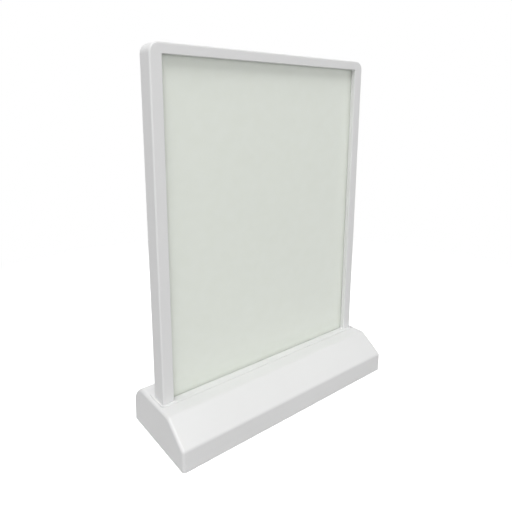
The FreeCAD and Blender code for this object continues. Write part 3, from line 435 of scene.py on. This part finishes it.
# Enamelled winding wire keeps the copper's red, and a drawn can is a plain light grey.
COPPER = BareMetal("copper_enamelled_wound", "#C07A4A", "#A9653A", roughness=0.3)
CAN = BareMetal("aluminium_drawn", "#D5D6D8", "#C6C8CA", roughness=0.3)
# Boards: white mask round the LEDs, green mask over the control board's tracks.
LED_BOARD = Moulded("solder_mask_white_cured", "#EDEFEA", "#E9EBE5", roughness=0.3, grain_mm=0.8)
MAIN_BOARD = CircuitMask("solder_mask_green_cured", "#1D5636", "#2C7148")
# LEDs: a chalky white case with smooth yellow silicone in its cup.
LED_CASE = Moulded("polyamide_white_led_case", "#F1F2EE", "#ECEDE8", roughness=0.4, grain_mm=0.3)
PHOSPHOR = Moulded("silicone_phosphor_cast", "#F0DF8E", "#EAD67E", roughness=0.35, grain_mm=0.3)
# Parts on the board: soft black epoxy, dull dark ferrite, creamy and black nylon.
PART_BLACK = Moulded("epoxy_black_moulded", "#2B2B2D", "#242426", roughness=0.45, grain_mm=0.3)
FERRITE = Moulded("ferrite_grey_sintered", "#3F4042", "#343537", roughness=0.65, grain_mm=0.25)
NYLON = Moulded("nylon_natural_moulded", "#E9E6DB", "#E3DFD2", roughness=0.45, grain_mm=0.5)
TONGUE = Moulded("nylon_black_moulded", "#1F2022", "#1A1B1D", roughness=0.5, grain_mm=0.3)
# Grey PVC sheath of the leads: smooth, with a low gloss.
SHEATH = Moulded("pvc_grey_extruded", "#C7C8C8", "#BFC0C0", roughness=0.35, grain_mm=1.0)
# Shrunk sleeve of the cells: tight and glossy, slate with a silver band.
SLEEVE = Moulded("polyester_slate_shrunk_sleeve", "#454A52", "#40454D", roughness=0.3,
                 grain_mm=1.5)
SLEEVE_BAND = Moulded("polyester_silver_shrunk_sleeve", "#A9ACB0", "#A2A5A9", roughness=0.26,
                      grain_mm=1.5)
# The studio's floor.
FLOOR = StudioPaper("floor_white_paper")


# ---------------- shapes, in millimetres


def shifted(outline: Outline, radius: float, height: float) -> list[tuple[float, float]]:
    """Move an outline outwards by a radius and up by a height."""
    return [(radius + out, height + up) for out, up in outline]


def lathed(outline: Outline, steps: int = 48) -> Shape:
    """Turn an outline round the Z axis.

    Args:
        outline: (radius, height) points; an end off the axis is closed by a flat disc.
        steps: number of steps in the full turn.

    Returns:
        A closed shape with its faces outwards.
    """
    first, last = outline[0], outline[-1]
    start = [(0.0, first[1])] if first[0] > 0 else []
    end = [(0.0, last[1])] if last[0] > 0 else []
    shape = bmesh.new()
    points = [shape.verts.new((radius, 0.0, height)) for radius, height in (*start, *outline, *end)]
    edges = [shape.edges.new(pair) for pair in zip(points, points[1:])]
    bmesh.ops.spin(shape, geom=points + edges, cent=(0, 0, 0), axis=(0, 0, 1), angle=math.tau,
                   steps=steps, use_merge=True)
    bmesh.ops.remove_doubles(shape, verts=shape.verts[:], dist=WELD)
    bmesh.ops.recalc_face_normals(shape, faces=shape.faces[:])
    return shape


def rounded_box(size: Sequence[float], edge: float, segments: int = 2) -> Shape:
    """Make a box round the origin with rounded edges.

    Args:
        size: lengths along X, Y and Z.
        edge: radius of the edges.
        segments: steps across each rounded edge.

    Returns:
        The closed shape.
    """
    shape = bmesh.new()
    bmesh.ops.create_cube(shape, size=1.0)
    bmesh.ops.scale(shape, vec=Vector(size), verts=shape.verts[:])
    bmesh.ops.bevel(shape, geom=shape.edges[:], offset=edge, offset_type="OFFSET",
                    segments=segments, profile=0.5, affect="EDGES", material=-1)
    return shape


def moved(shape: Shape, *way: float) -> Shape:
    """Move a shape along X, Y and Z and give it back."""
    bmesh.ops.translate(shape, vec=Vector(way), verts=shape.verts[:])
    return shape


def level_faces(shape: Shape) -> list[bmesh.types.BMFace]:
    """Find the faces that lie level and face up."""
    return [face for face in shape.faces if face.normal.z > LEVEL]


def new_object(name: str, data: bpy.types.ID) -> bpy.types.Object:
    """Put a new object into the scene, at the origin.

    Args:
        name: its name.
        data: its mesh, lamp or camera.

    Returns:
        The object.
    """
    item = bpy.data.objects.new(name, data)
    bpy.context.scene.collection.objects.link(item)
    return item


def carved(shape: Shape, cutter: Shape) -> Shape:
    """Cut one closed shape out of another; both are used up.

    Args:
        shape: the shape that stays.
        cutter: the shape that is taken away from it.

    Returns:
        What is left.
    """
    stand_ins = []
    for source in (shape, cutter):
        mesh = bpy.data.meshes.new("carving")
        source.to_mesh(mesh)
        source.free()
        stand_ins.append(new_object("carving", mesh))
    cut = stand_ins[0].modifiers.new("cut", "BOOLEAN")
    cut.operation = "DIFFERENCE"
    cut.solver = "EXACT"
    cut.object = stand_ins[1]
    left = bmesh.new()
    left.from_object(stand_ins[0], bpy.context.evaluated_depsgraph_get())
    for stand_in in stand_ins:
        bpy.data.meshes.remove(stand_in.data)
    bmesh.ops.remove_doubles(left, verts=left.verts[:], dist=WELD)
    return left


def at(x: float, y: float, z: float) -> Matrix:
    """Place a shape at a point."""
    return Matrix.Translation((x, y, z))


def turned(degrees: float, axis: str) -> Matrix:
    """Turn a shape about one axis."""
    return Matrix.Rotation(math.radians(degrees), 4, axis)


@dataclass(frozen=True)
class Solid:
    """Box of one of a CAD node's separate solids."""

    low: Vector
    high: Vector

    @property
    def middle(self) -> Vector:
        """Middle of the box."""
        return (self.low + self.high) / 2

    @property
    def size(self) -> Vector:
        """Lengths of the box."""
        return self.high - self.low


def solids(node: str) -> list[Solid]:
    """Measure a CAD node's separate solids.

    Args:
        node: the node's name.

    Returns:
        One box per solid, sorted by Y, then X, then Z.
    """
    shape = bmesh.new()
    shape.from_mesh(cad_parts[node].data)
    bmesh.ops.remove_doubles(shape, verts=shape.verts[:], dist=CAD_WELD)
    waiting = set(shape.verts)
    found = []
    while waiting:
        island = [waiting.pop()]
        for point in island:
            fresh = {edge.other_vert(point) for edge in point.link_edges} & waiting
            waiting -= fresh
            island.extend(fresh)
        corners = list(zip(*(point.co / MM for point in island)))
        found.append(Solid(Vector([min(c) for c in corners]), Vector([max(c) for c in corners])))
    shape.free()
    return sorted(found, key=lambda box: [round(v, 1) for v in box.middle.yxz])


class Piece:
    """A new object that stands for one CAD node, gathered from closed shapes."""

    def __init__(self, node: str, slot: str) -> None:
        """Start an empty piece.

        Args:
            node: the CAD node that the piece replaces.
            slot: the record's material slot of that node; it is kept on the piece but not used.
        """
        self.node = node
        self.slot = slot
        self.whole = bmesh.new()
        self.finishes: list[Finish] = []

    def add(self, shape: Shape, finish: Finish, *places: Matrix) -> None:
        """Add a shape, which is used up.

        Args:
            shape: closed shape in millimetres.
            finish: its finish.
            *places: one transform for each copy; none leaves it where it is.
        """
        if finish not in self.finishes:
            self.finishes.append(finish)
        for face in shape.faces:
            face.material_index = self.finishes.index(finish)
            face.smooth = True
        for place in places or (Matrix(),):
            mesh = bpy.data.meshes.new("part")
            shape.to_mesh(mesh)
            mesh.transform(place)
            self.whole.from_mesh(mesh)
            bpy.data.meshes.remove(mesh)
        shape.free()

    def finish(self) -> None:
        """Make the object, in metres, and let it ride on the light box."""
        bmesh.ops.scale(self.whole, vec=Vector((MM, MM, MM)), verts=self.whole.verts[:])
        mesh = bpy.data.meshes.new(self.node + "_modelled")
        self.whole.to_mesh(mesh)
        self.whole.free()
        mesh.set_sharp_from_angle(angle=math.radians(CREASE))
        for finish in self.finishes:
            mesh.materials.append(finish.material())
        piece = new_object(mesh.name, mesh)
        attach(piece, "light_box")
        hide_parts(self.node)
        log.info("%s: %d faces for %s", piece.name, len(mesh.polygons), self.node)


# ---------------- screws


class HeadWay(Enum):
    """The way a screw's head faces, as the turn from facing up."""

    UP = Matrix()
    DOWN = turned(180, "X")
    BACK = turned(-90, "X")

    def place(self, box: Solid) -> Matrix:
        """Place a screw whose head's top is at the origin.

        Args:
            box: the box that the screw fills.

        Returns:
            The transform.
        """
        x, y, z = box.middle
        top = {HeadWay.UP: (x, y, box.high.z), HeadWay.DOWN: (x, y, box.low.z),
               HeadWay.BACK: (x, box.high.y, z)}[self]
        return at(*top) @ self.value


@dataclass(frozen=True)
class PanScrew:
    """Pan-head screw with a cross recess; its head's top is at zero and its shank points down.

    The dome and the recess are given in shares of the head's radius and height.
    """

    head_radius: float
    head_height: float
    shank_radius: float
    pitch: float
    thread_depth: float = 0.22
    thread_root: float = 0.06
    thread_steps: int = 18
    tip_taper: float = 1.4
    dome: Outline = ((0.0, 0.0), (0.5, -0.03), (0.8, -0.13), (0.95, -0.34), (1.0, -0.62),
                     (1.0, -1.0))
    dome_steps: int = 32
    recess_reach: float = 1.25
    recess_width: float = 0.3
    recess_taper: tuple[float, float, float] = (0.5, 0.7, 1.0)

    def head(self, length: float) -> Shape:
        """Turn the domed head with the shank's core and cut the recess.

        Args:
            length: from the head's top to the tip.

        Returns:
            The closed shape.
        """
        across, tall = self.head_radius, self.head_height
        core = self.shank_radius - self.thread_depth
        dome = [(out * across, up * tall) for out, up in self.dome]
        shank = [(core, -tall), (core, self.tip_taper - length), (0.0, -length)]
        shape = lathed(dome + shank, self.dome_steps)
        for quarter in (0, 90):
            blade = bmesh.new()
            bmesh.ops.create_cube(blade, size=1.0)
            size = Vector((self.recess_reach * across, self.recess_width * across, tall))
            bmesh.ops.scale(blade, vec=size, verts=blade.verts[:])
            bottom = [point for point in blade.verts if point.co.z < 0]
            bmesh.ops.scale(blade, vec=Vector(self.recess_taper), verts=bottom)
            bmesh.ops.rotate(blade, cent=(0, 0, 0), matrix=turned(quarter, "Z").to_3x3(),
                             verts=blade.verts[:])
            shape = carved(shape, blade)
        return shape

    def thread(self, length: float) -> Shape:
        """Wind the thread from the tip's taper up to the head.

        Args:
            length: from the head's top to the tip.

        Returns:
            The closed shape; its inner edge lies inside the shank's core.
        """
        inner = self.shank_radius - self.thread_depth - self.thread_root
        low = self.tip_taper - length
        turns = int((-self.head_height - low) / self.pitch) - 1
        ridge = ((inner, 0, low), (self.shank_radius, 0, low + self.pitch / 2),
                 (inner, 0, low + self.pitch))
        shape = bmesh.new()
        points = [shape.verts.new(corner) for corner in ridge]
        edges = [shape.edges.new(pair) for pair in zip(points, points[1:])]
        bmesh.ops.spin(shape, geom=points + edges, cent=(0, 0, 0), axis=(0, 0, 1),
                       angle=math.tau * turns, dvec=(0, 0, self.pitch / self.thread_steps),
                       steps=self.thread_steps * turns)
        bmesh.ops.remove_doubles(shape, verts=shape.verts[:], dist=THREAD_WELD)
        rim = [edge for edge in shape.edges if edge.is_boundary]
        bmesh.ops.holes_fill(shape, edges=rim, sides=0)
        bmesh.ops.recalc_face_normals(shape, faces=shape.faces[:])
        return shape

    def fit(self, node: str, way: HeadWay) -> None:
        """Model every screw of one CAD node.

        Args:
            node: the node that holds the screws.
            way: the way their heads face.
        """
        boxes = solids(node)
        places = [way.place(box) for box in boxes]
        length = max(boxes[-1].size)
        piece = Piece(node, "screw")
        piece.add(self.head(length), SCREW, *places)
        piece.add(self.thread(length), SCREW, *places)
        piece.finish()


# ---------------- small parts


@dataclass(frozen=True)
class Led:
    """LED on its back: white case, phosphor fill in its cup and a solder joint at each end.

    The dome is in shares of the cup's radius and in depths below the face, and the joint's
    width is a share of the LED's.
    """

    edge: float = 0.12
    rim: float = 0.42
    cup: float = 0.2
    dome: Outline = ((0.0, -0.03), (0.6, -0.05), (0.9, -0.1), (1.0, -0.2), (1.0, -0.4))
    dome_steps: int = 12
    joint_length: float = 1.0
    joint_height: float = 0.25
    joint_share: float = 0.7
    joint_edge: float = 0.04

    def case(self, size: Vector) -> Shape:
        """Make the case with its cup.

        Args:
            size: how far the LED stands off its board, its width and its height.

        Returns:
            The closed shape.
        """
        deep, wide, tall = size
        case = moved(rounded_box((tall, wide, deep), self.edge, 1), 0, 0, deep / 2)
        top = level_faces(case)
        bmesh.ops.inset_region(case, faces=top, thickness=self.rim, depth=0.0)
        bmesh.ops.inset_region(case, faces=top, thickness=self.cup / 2, depth=-self.cup)
        return case

    def fill(self, size: Vector) -> Shape:
        """Make the domed fill of the cup."""
        radius = size.y / 2 - self.edge - self.rim
        return lathed([(out * radius, size.x + up) for out, up in self.dome], self.dome_steps)

    def solder(self, size: Vector, side: int) -> Shape:
        """Make the solder joint at one end, -1 or 1."""
        block = (self.joint_length, self.joint_share * size.y, self.joint_height)
        return moved(rounded_box(block, self.joint_edge, 1), side * size.z / 2, 0, 0)


@dataclass(frozen=True)
class Foot:
    """Rubber foot: a low disc with a rounded rim and a dished middle."""

    bend: float = 0.7
    quarter: Outline = ((-1.0, 0.0), (-0.62, 0.08), (-0.29, 0.29), (-0.08, 0.62), (0.0, 1.0))
    dish: float = 3.4
    dish_depth: float = 0.35
    dish_slope: float = 0.5
    dish_bend: float = 0.3

    def shape(self, size: Vector) -> Shape:
        """Turn the foot.

        Args:
            size: lengths of its box.

        Returns:
            The closed shape.
        """
        radius, depth = size.x / 2, self.dish_depth
        rim = [(radius + out * self.bend, up * self.bend) for out, up in self.quarter]
        return lathed([(self.dish - self.dish_slope, depth), (self.dish, depth * self.dish_bend),
                       (self.dish + self.dish_slope, 0.0), *rim, (radius, size.z)])


@dataclass(frozen=True)
class Cell:
    """AA cell on its negative end: two-tone shrunk sleeve curled over steel caps.

    Curls and caps are outlines from the cell's radius and the sleeve's ends, and the nub's
    round is one from its radius and the cell's top.
    """

    band: float = 0.76  # share of the length at which the sleeve changes its tone
    steps: int = 40
    low_curl: Outline = ((-1.0, 0.3), (-0.8, 0.08), (-0.4, 0.0), (-0.1, 0.15), (0.0, 0.5))
    high_curl: Outline = ((0.0, -0.7), (-0.15, -0.25), (-0.5, 0.0), (-0.9, -0.1), (-1.1, -0.3))
    low_cap: Outline = ((-1.6, 0.12), (-1.3, 0.25), (-1.3, 0.5))
    high_cap: Outline = ((-1.6, -0.05), (-1.4, -0.25), (-1.4, -0.5))
    nub_radius: float = 2.7
    nub_height: float = 1.0
    nub_round: Outline = ((-0.5, 0.0), (-0.15, -0.12), (0.0, -0.4))

    def add(self, piece: Piece, size: Vector, places: Sequence[Matrix]) -> None:
        """Add the cells.

        Args:
            piece: the piece that gets them.
            size: lengths of one cell's box, which lies along X.
            places: the transform of each cell.
        """
        length, radius = size.x, size.z / 2
        end, band = length - self.nub_height, self.band * length
        sleeve = [*shifted(self.low_curl, radius, 0), (radius, band)]
        top = [(radius, band), *shifted(self.high_curl, radius, end)]
        nub = [*shifted(self.nub_round, self.nub_radius, length), (self.nub_radius, end)]
        piece.add(lathed(sleeve, self.steps), SLEEVE, *places)
        piece.add(lathed(top, self.steps), SLEEVE_BAND, *places)
        piece.add(lathed(shifted(self.low_cap, radius, 0), self.steps), SPRING, *places)
        piece.add(lathed(nub + shifted(self.high_cap, radius, end), self.steps), SPRING, *places)


@dataclass(frozen=True)
class ChargeSocket:
    """Charge socket: drawn shell round a black tongue with gold contacts on both sides."""

    wall: float = 0.35
    back: float = 1.0
    draft: float = 0.01
    corners: int = 34
    tongue: tuple[float, float] = (6.4, 0.7)
    tongue_edge: float = 0.1
    tongue_root: float = 0.2
    tongue_set_back: float = 0.8
    contact: tuple[float, float, float] = (0.28, 0.08, 3.6)
    contact_edge: float = 0.02
    contact_set_back: float = 0.3
    contact_pitch: float = 0.5
    contact_count: int = 12

    def shell(self, size: Vector) -> Shape:
        """Draw the shell with its mouth up, its middle at the origin.

        Args:
            size: the socket's width, depth and height.

        Returns:
            The closed shape.
        """
        wide, deep, tall = size
        shell = bmesh.new()
        disc = bmesh.ops.create_circle(shell, cap_ends=True, segments=self.corners,
                                       radius=tall / 2)
        for corner in disc["verts"]:
            corner.co.x += math.copysign((wide - tall) / 2, corner.co.x)
        walls = bmesh.ops.extrude_face_region(shell, geom=shell.faces[:], use_keep_orig=True)
        front = [item for item in walls["geom"] if isinstance(item, bmesh.types.BMVert)]
        bmesh.ops.translate(shell, vec=Vector((0, 0, deep)), verts=front)
        bmesh.ops.recalc_face_normals(shell, faces=shell.faces[:])
        mouth = level_faces(shell)
        bmesh.ops.inset_region(shell, faces=mouth, thickness=self.wall, use_even_offset=True)
        bmesh.ops.inset_region(shell, faces=mouth, thickness=self.draft, depth=self.back - deep)
        return shell

    def add(self, piece: Piece, box: Solid) -> None:
        """Add the shell, the tongue and the contacts.

        Args:
            piece: the piece that gets them.
            box: the box that the socket fills; its mouth faces +Y.
        """
        place = at(box.middle.x, box.low.y, box.middle.z) @ turned(-90, "X")
        piece.add(self.shell(box.size), SPRING, place)
        tip = box.size.y - self.tongue_set_back
        reach = box.size.y - self.back - self.tongue_set_back
        tongue = rounded_box((*self.tongue, reach + self.tongue_root), self.tongue_edge)
        level = self.back + reach / 2 - self.tongue_root / 2
        piece.add(tongue, TONGUE, place @ at(0, 0, level))
        middle = (self.contact_count - 1) / 2
        level = tip - self.contact_set_back - self.contact[2] / 2
        rows = [place @ at((number - middle) * self.contact_pitch, side * self.tongue[1] / 2, level)
                for number in range(self.contact_count) for side in (-1, 1)]
        piece.add(rounded_box(self.contact, self.contact_edge, 1), GOLD, *rows)


class BoardPart(ABC):
    """A part that is soldered to the control board."""

    @abstractmethod
    def add(self, piece: Piece, box: Solid) -> None:
        """Add the part to a piece, in the box that it fills."""


@dataclass(frozen=True)
class Capacitor(BoardPart):
    """Electrolytic capacitor; crimp, curl and lid are outlines from its radius and its ends."""

    crimp: Outline = ((0.0, 0.0), (0.0, 0.6), (-0.25, 0.95), (0.0, 1.3))
    curl: Outline = ((0.0, -0.4), (-0.2, -0.1), (-0.5, -0.05), (-0.6, -0.2))
    lid: Outline = ((-1.0, 0.0), (-0.65, -0.15), (-0.65, -0.6))
    score: tuple[float, float] = (0.16, 0.2)
    score_edge: float = 0.03
    score_share: float = 1.1

    def add(self, piece: Piece, box: Solid) -> None:
        """Add the crimped sleeve and the scored aluminium top.

        Args:
            piece: the piece that gets them.
            box: the box that the capacitor fills.
        """
        place = at(box.middle.x, box.middle.y, box.low.z)
        radius, tall = box.size.x / 2, box.size.z
        sleeve = shifted(self.crimp, radius, 0) + shifted(self.curl, radius, tall)
        piece.add(lathed(sleeve), PART_BLACK, place)
        lid = lathed(shifted(self.lid, radius, tall))
        for quarter in (0, 90):
            score = rounded_box((radius * self.score_share, *self.score), self.score_edge, 1)
            bmesh.ops.transform(score, matrix=at(0, 0, tall) @ turned(quarter, "Z"),
                                verts=score.verts[:])
            lid = carved(lid, score)
        piece.add(lid, CAN, place)


@dataclass(frozen=True)
class Connector(BoardPart):
    """Connector of a pair of leads: a nylon housing with two latch windows."""

    edge: float = 0.3
    window: tuple[float, float, float] = (1.3, 2.2, 1.2)
    window_edge: float = 0.1
    window_off: tuple[float, float] = (1.05, 0.4)

    def add(self, piece: Piece, box: Solid) -> None:
        """Add the housing.

        Args:
            piece: the piece that gets it.
            box: the box that it fills.
        """
        housing = rounded_box(box.size, self.edge)
        for side in (-1, 1):
            window = moved(rounded_box(self.window, self.window_edge, 1),
                           side * self.window_off[0], self.window_off[1], box.size.z / 2)
            housing = carved(housing, window)
        piece.add(housing, NYLON, at(*box.middle))


@dataclass(frozen=True)
class Choke(BoardPart):
    """Choke; its winding is an outline from the shield's top, its core's end from the very top."""

    shield: float = 3.2
    shield_edge: float = 0.6
    winding: Outline = ((2.9, -0.2), (2.9, 0.25), (2.7, 0.4))
    core_end: Outline = ((2.2, 0.0), (2.4, -0.15))
    core_radius: float = 2.4

    def add(self, piece: Piece, box: Solid) -> None:
        """Add the ferrite shield, the copper winding and the core's round end.

        Args:
            piece: the piece that gets them.
            box: the box that the choke fills.
        """
        place = at(box.middle.x, box.middle.y, box.low.z)
        ferrite = rounded_box((box.size.x, box.size.y, self.shield), self.shield_edge)
        piece.add(ferrite, FERRITE, place @ at(0, 0, self.shield / 2))
        piece.add(lathed(shifted(self.winding, 0, self.shield)), COPPER, place)
        core = [*shifted(self.core_end, 0, box.size.z), (self.core_radius, self.shield)]
        piece.add(lathed(core), FERRITE, place)


@dataclass(frozen=True)
class Chip(BoardPart):
    """Driver chip: a moulded body and a row of bent legs on each side."""

    edge: float = 0.12
    stand_off: float = 0.15
    leg_count: int = 4
    leg_pitch: float = 1.2
    leg_width: float = 0.42
    leg_thick: float = 0.16
    leg_reach: float = 0.6
    leg_edge: float = 0.03

    def add(self, piece: Piece, box: Solid) -> None:
        """Add the body and the legs.

        Args:
            piece: the piece that gets them.
            box: the box that the chip fills with its legs.
        """
        wide, deep, tall = box.size
        thick = tall - self.stand_off
        body = rounded_box((wide, deep - 2 * self.leg_reach, thick), self.edge)
        piece.add(body, PART_BLACK, at(box.middle.x, box.middle.y, box.high.z - thick / 2))
        middle = (self.leg_count - 1) / 2
        for side in (-1, 1):
            edge = box.middle.y + side * (deep / 2 - self.leg_reach)
            for number in range(self.leg_count):
                x = box.middle.x + (number - middle) * self.leg_pitch
                riser = rounded_box((self.leg_width, self.leg_thick, tall / 2), self.leg_edge, 1)
                piece.add(riser, SPRING,
                          at(x, edge + side * self.leg_thick / 2, box.low.z + tall / 4))
                pad = rounded_box((self.leg_width, self.leg_reach, self.leg_thick),
                                  self.leg_edge, 1)
                piece.add(pad, SPRING,
                          at(x, edge + side * self.leg_reach / 2, box.low.z + self.leg_thick / 2))


# ---------------- sub-assemblies


@dataclass
class SubAssembly(ABC):
    """CAD nodes that keep their shape, with the finish of each, and the pieces added to them."""

    finishes: dict[str, Finish]

    def dress(self) -> None:
        """Give every node its finish."""
        for node, finish in self.finishes.items():
            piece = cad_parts[node]
            piece.data.materials.clear()
            piece.data.materials.append(finish.material())
            log.info("%s in %s", node, finish.name)

    @abstractmethod
    def build(self) -> None:
        """Model the pieces that get a finer shape."""


@dataclass
class DisplayHead(SubAssembly):
    """Frame, window, sheet and the lit stack behind them."""

    finishes: dict[str, Finish] = field(default_factory=lambda: {
        "head_frame": SHELL, "rear_cover": SHELL, "front_window": WINDOW, "insert_sheet": PAPER,
        "sheet_guide": OPAL, "diffuser_panel": OPAL, "light_guide": GUIDE,
        "reflector_sheet": FILM, "led_board_left": LED_BOARD, "led_board_right": LED_BOARD,
        "led_lead_left": SHEATH, "led_lead_right": SHEATH,
    })
    cover_screw: PanScrew = PanScrew(head_radius=1.9, head_height=1.3, shank_radius=0.9, pitch=0.7)
    led: Led = Led()

    def build(self) -> None:
        """Model the cover's screws and the LEDs."""
        self.cover_screw.fit("cover_screws", HeadWay.BACK)
        self.build_leds()

    def build_leds(self) -> None:
        """Model the LEDs, each facing inwards from its board."""
        boxes = solids("leds")
        places = []
        for box in boxes:
            facing = -math.copysign(1, box.middle.x)
            back = box.low.x if facing > 0 else box.high.x
            places.append(at(back, box.middle.y, box.middle.z) @ turned(90 * facing, "Y"))
        size = boxes[0].size
        piece = Piece("leds", "led")
        piece.add(self.led.case(size), LED_CASE, *places)
        piece.add(self.led.fill(size), PHOSPHOR, *places)
        for side in (-1, 1):
            piece.add(self.led.solder(size, side), TIN, *places)
        piece.finish()


@dataclass
class Base(SubAssembly):
    """Housing, cradle, bottom plate and what holds and carries them."""

    finishes: dict[str, Finish] = field(default_factory=lambda: {
        "base_housing": SHELL, "head_cradle": CRADLE, "base_plate": SHELL, "battery_door": SHELL,
    })
    screw: PanScrew = PanScrew(head_radius=2.4, head_height=1.6, shank_radius=1.1, pitch=0.9)
    head_screw: PanScrew = PanScrew(head_radius=2.6, head_height=1.8, shank_radius=1.1, pitch=0.9)
    foot: Foot = Foot()

    def build(self) -> None:
        """Model the screws and the feet."""
        self.screw.fit("base_screws", HeadWay.DOWN)
        self.head_screw.fit("head_screws", HeadWay.DOWN)
        boxes = solids("rubber_feet")
        piece = Piece("rubber_feet", "foot")
        piece.add(self.foot.shape(boxes[0].size), RUBBER,
                  *(at(box.middle.x, box.middle.y, box.low.z) for box in boxes))
        piece.finish()


@dataclass
class PowerUnit(SubAssembly):
    """Cells, contacts, control board, socket and switch."""

    finishes: dict[str, Finish] = field(default_factory=lambda: {
        "cell_contacts": SPRING, "control_board": MAIN_BOARD, "switch_body": DARK,
        "power_rocker": DARK, "switch_terminals": SPRING, "battery_lead": SHEATH,
        "switch_lead": SHEATH,
    })
    board_screw: PanScrew = PanScrew(head_radius=1.9, head_height=1.4, shank_radius=0.9, pitch=0.7)
    cell: Cell = Cell()
    cells_per_row: int = 2
    socket: ChargeSocket = ChargeSocket()
    # From the tallest to the lowest, and from -X to +X where two are as tall.
    board_parts: tuple[BoardPart, ...] = (Capacitor(), Connector(), Connector(), Choke(), Chip())

    def build(self) -> None:
        """Model the board's screws, the cells, the socket and the parts on the board."""
        self.board_screw.fit("board_screws", HeadWay.UP)
        self.build_cells()
        piece = Piece("usb_socket", "spring_metal")
        self.socket.add(piece, solids("usb_socket")[0])
        piece.finish()
        self.build_board_parts()

    def build_cells(self) -> None:
        """Model the cells; the rows point to +X and -X in turn."""
        boxes = solids("battery_cells")
        places = []
        for number, box in enumerate(boxes):
            forward = number // self.cells_per_row % 2 == 0
            start = box.low.x if forward else box.high.x
            places.append(at(start, box.middle.y, box.middle.z)
                          @ turned(90 if forward else -90, "Y"))
        piece = Piece("battery_cells", "cell")
        self.cell.add(piece, boxes[0].size, places)
        piece.finish()

    def build_board_parts(self) -> None:
        """Model the parts on the board."""
        boxes = sorted(solids("board_parts"), key=lambda box: (-box.size.z, box.middle.x))
        piece = Piece("board_parts", "dark_plastic")
        for part, box in zip(self.board_parts, boxes, strict=True):
            part.add(piece, box)
        piece.finish()


# ---------------- studio, in metres


@dataclass(frozen=True)
class Softbox:
    """A square area lamp, its power in watts."""

    name: str
    place: tuple[float, float, float]
    aim: tuple[float, float, float]
    side: float
    power: float

    def build(self) -> None:
        """Hang the lamp and turn it to its aim."""
        data = bpy.data.lights.new(self.name, "AREA")
        data.shape = "SQUARE"
        data.size = self.side
        data.energy = self.power
        lamp = new_object(self.name, data)
        lamp.location = self.place
        lamp.rotation_mode = "QUATERNION"
        lamp.rotation_quaternion = (Vector(self.aim) - Vector(self.place)).to_track_quat("-Z", "Y")


@dataclass
class Studio:
    """Plain white floor and backdrop under soft lamps."""

    ambient: float = 0.323  # strength of the sky's fill light
    floor_half: float = 4.0
    lamps: tuple[Softbox, ...] = (
        Softbox("high_softbox", (-0.9, -1.25, 2.7), (0.0, 0.0, 0.1), 1.8, 51.1),
        Softbox("side_softbox", (-0.7, 0.2, 1.5), (0.0, 0.0, 0.1), 1.2, 3.4),
        Softbox("front_softbox", (-0.9, -1.8, 0.4), (0.0, 0.0, 0.15), 1.0, 7.2),
        Softbox("rear_softbox", (0.9, 1.7, 0.3), (0.0, 0.0, 0.15), 0.6, 6.0),
    )

    def build(self) -> None:
        """Make the floor, the world and the lamps."""
        self.build_floor()
        self.build_world()
        for lamp in self.lamps:
            lamp.build()

    def build_floor(self) -> None:
        """Lay the floor."""
        mesh = bpy.data.meshes.new("floor")
        shape = bmesh.new()
        bmesh.ops.create_grid(shape, x_segments=1, y_segments=1, size=self.floor_half)
        shape.to_mesh(mesh)
        shape.free()
        mesh.materials.append(FLOOR.material())
        floor = new_object("floor", mesh)

    def build_world(self) -> None:
        """Make the sky: even fill light, and plain white wherever it is seen."""
        world = bpy.data.worlds.new("studio")
        bpy.context.scene.world = world
        world.use_nodes = True
        tree = world.node_tree
        tree.nodes.clear()
        path = add_node(tree, "ShaderNodeLightPath")
        fill = add_node(tree, "ShaderNodeBackground", {"Color": WHITE, "Strength": self.ambient})
        white = add_node(tree, "ShaderNodeBackground", {"Color": WHITE, "Strength": 1.0})
        seen = add_node(tree, "ShaderNodeMath", {
            0: path.outputs["Is Camera Ray"], 1: in_gloss(tree, path),
        }, operation="MAXIMUM")
        mix = add_node(tree, "ShaderNodeMixShader", {
            0: seen.outputs[0], 1: fill.outputs[0], 2: white.outputs[0]})
        add_node(tree, "ShaderNodeOutputWorld", {"Surface": mix.outputs["Shader"]})


@dataclass
class Shot:
    """The main camera, by its place in millimetres, its angles in degrees and its lens."""

    place_mm: tuple[float, float, float] = (-267.1, -313.0, 270.95)
    turn: float = 38.243
    tilt: float = 11.849
    roll: float = 0.144
    focal_px: float = 463.07
    centre_px: tuple[float, float] = (251.985, 208.553)
    width_px: int = 512
    sensor_mm: float = 36.0
    nearest: float = 0.01
    farthest: float = 50.0

    def build(self) -> None:
        """Set the camera up and make it the scene's."""
        turn, tilt, roll = (math.radians(angle) for angle in (self.turn, self.tilt, self.roll))
        ahead = Vector((math.sin(turn) * math.cos(tilt), math.cos(turn) * math.cos(tilt),
                        -math.sin(tilt)))
        level = Vector((math.cos(turn), -math.sin(turn), 0.0))
        rise = level.cross(ahead)
        right = level * math.cos(roll) + rise * math.sin(roll)
        up = rise * math.cos(roll) - level * math.sin(roll)
        data = bpy.data.cameras.new("main_camera")
        data.sensor_width = self.sensor_mm
        data.lens = self.focal_px / self.width_px * self.sensor_mm
        data.shift_x = (self.width_px / 2 - self.centre_px[0]) / self.width_px
        data.shift_y = (self.centre_px[1] - self.width_px / 2) / self.width_px
        data.clip_start = self.nearest
        data.clip_end = self.farthest
        camera = new_object("main_camera", data)
        pose = Matrix((right, up, -ahead)).transposed().to_4x4()
        pose.translation = Vector(self.place_mm) * MM
        camera.matrix_world = pose
        bpy.context.scene.camera = camera


def main() -> None:
    """Build the camera, the studio and every sub-assembly in order."""
    logging.basicConfig(level=logging.INFO, format="%(message)s")
    Shot().build()
    Studio().build()
    for part in (DisplayHead(), Base(), PowerUnit()):
        part.dress()
        part.build()
    bpy.context.scene.view_settings.view_transform = "Standard"


if __name__ == "__main__":
    main()
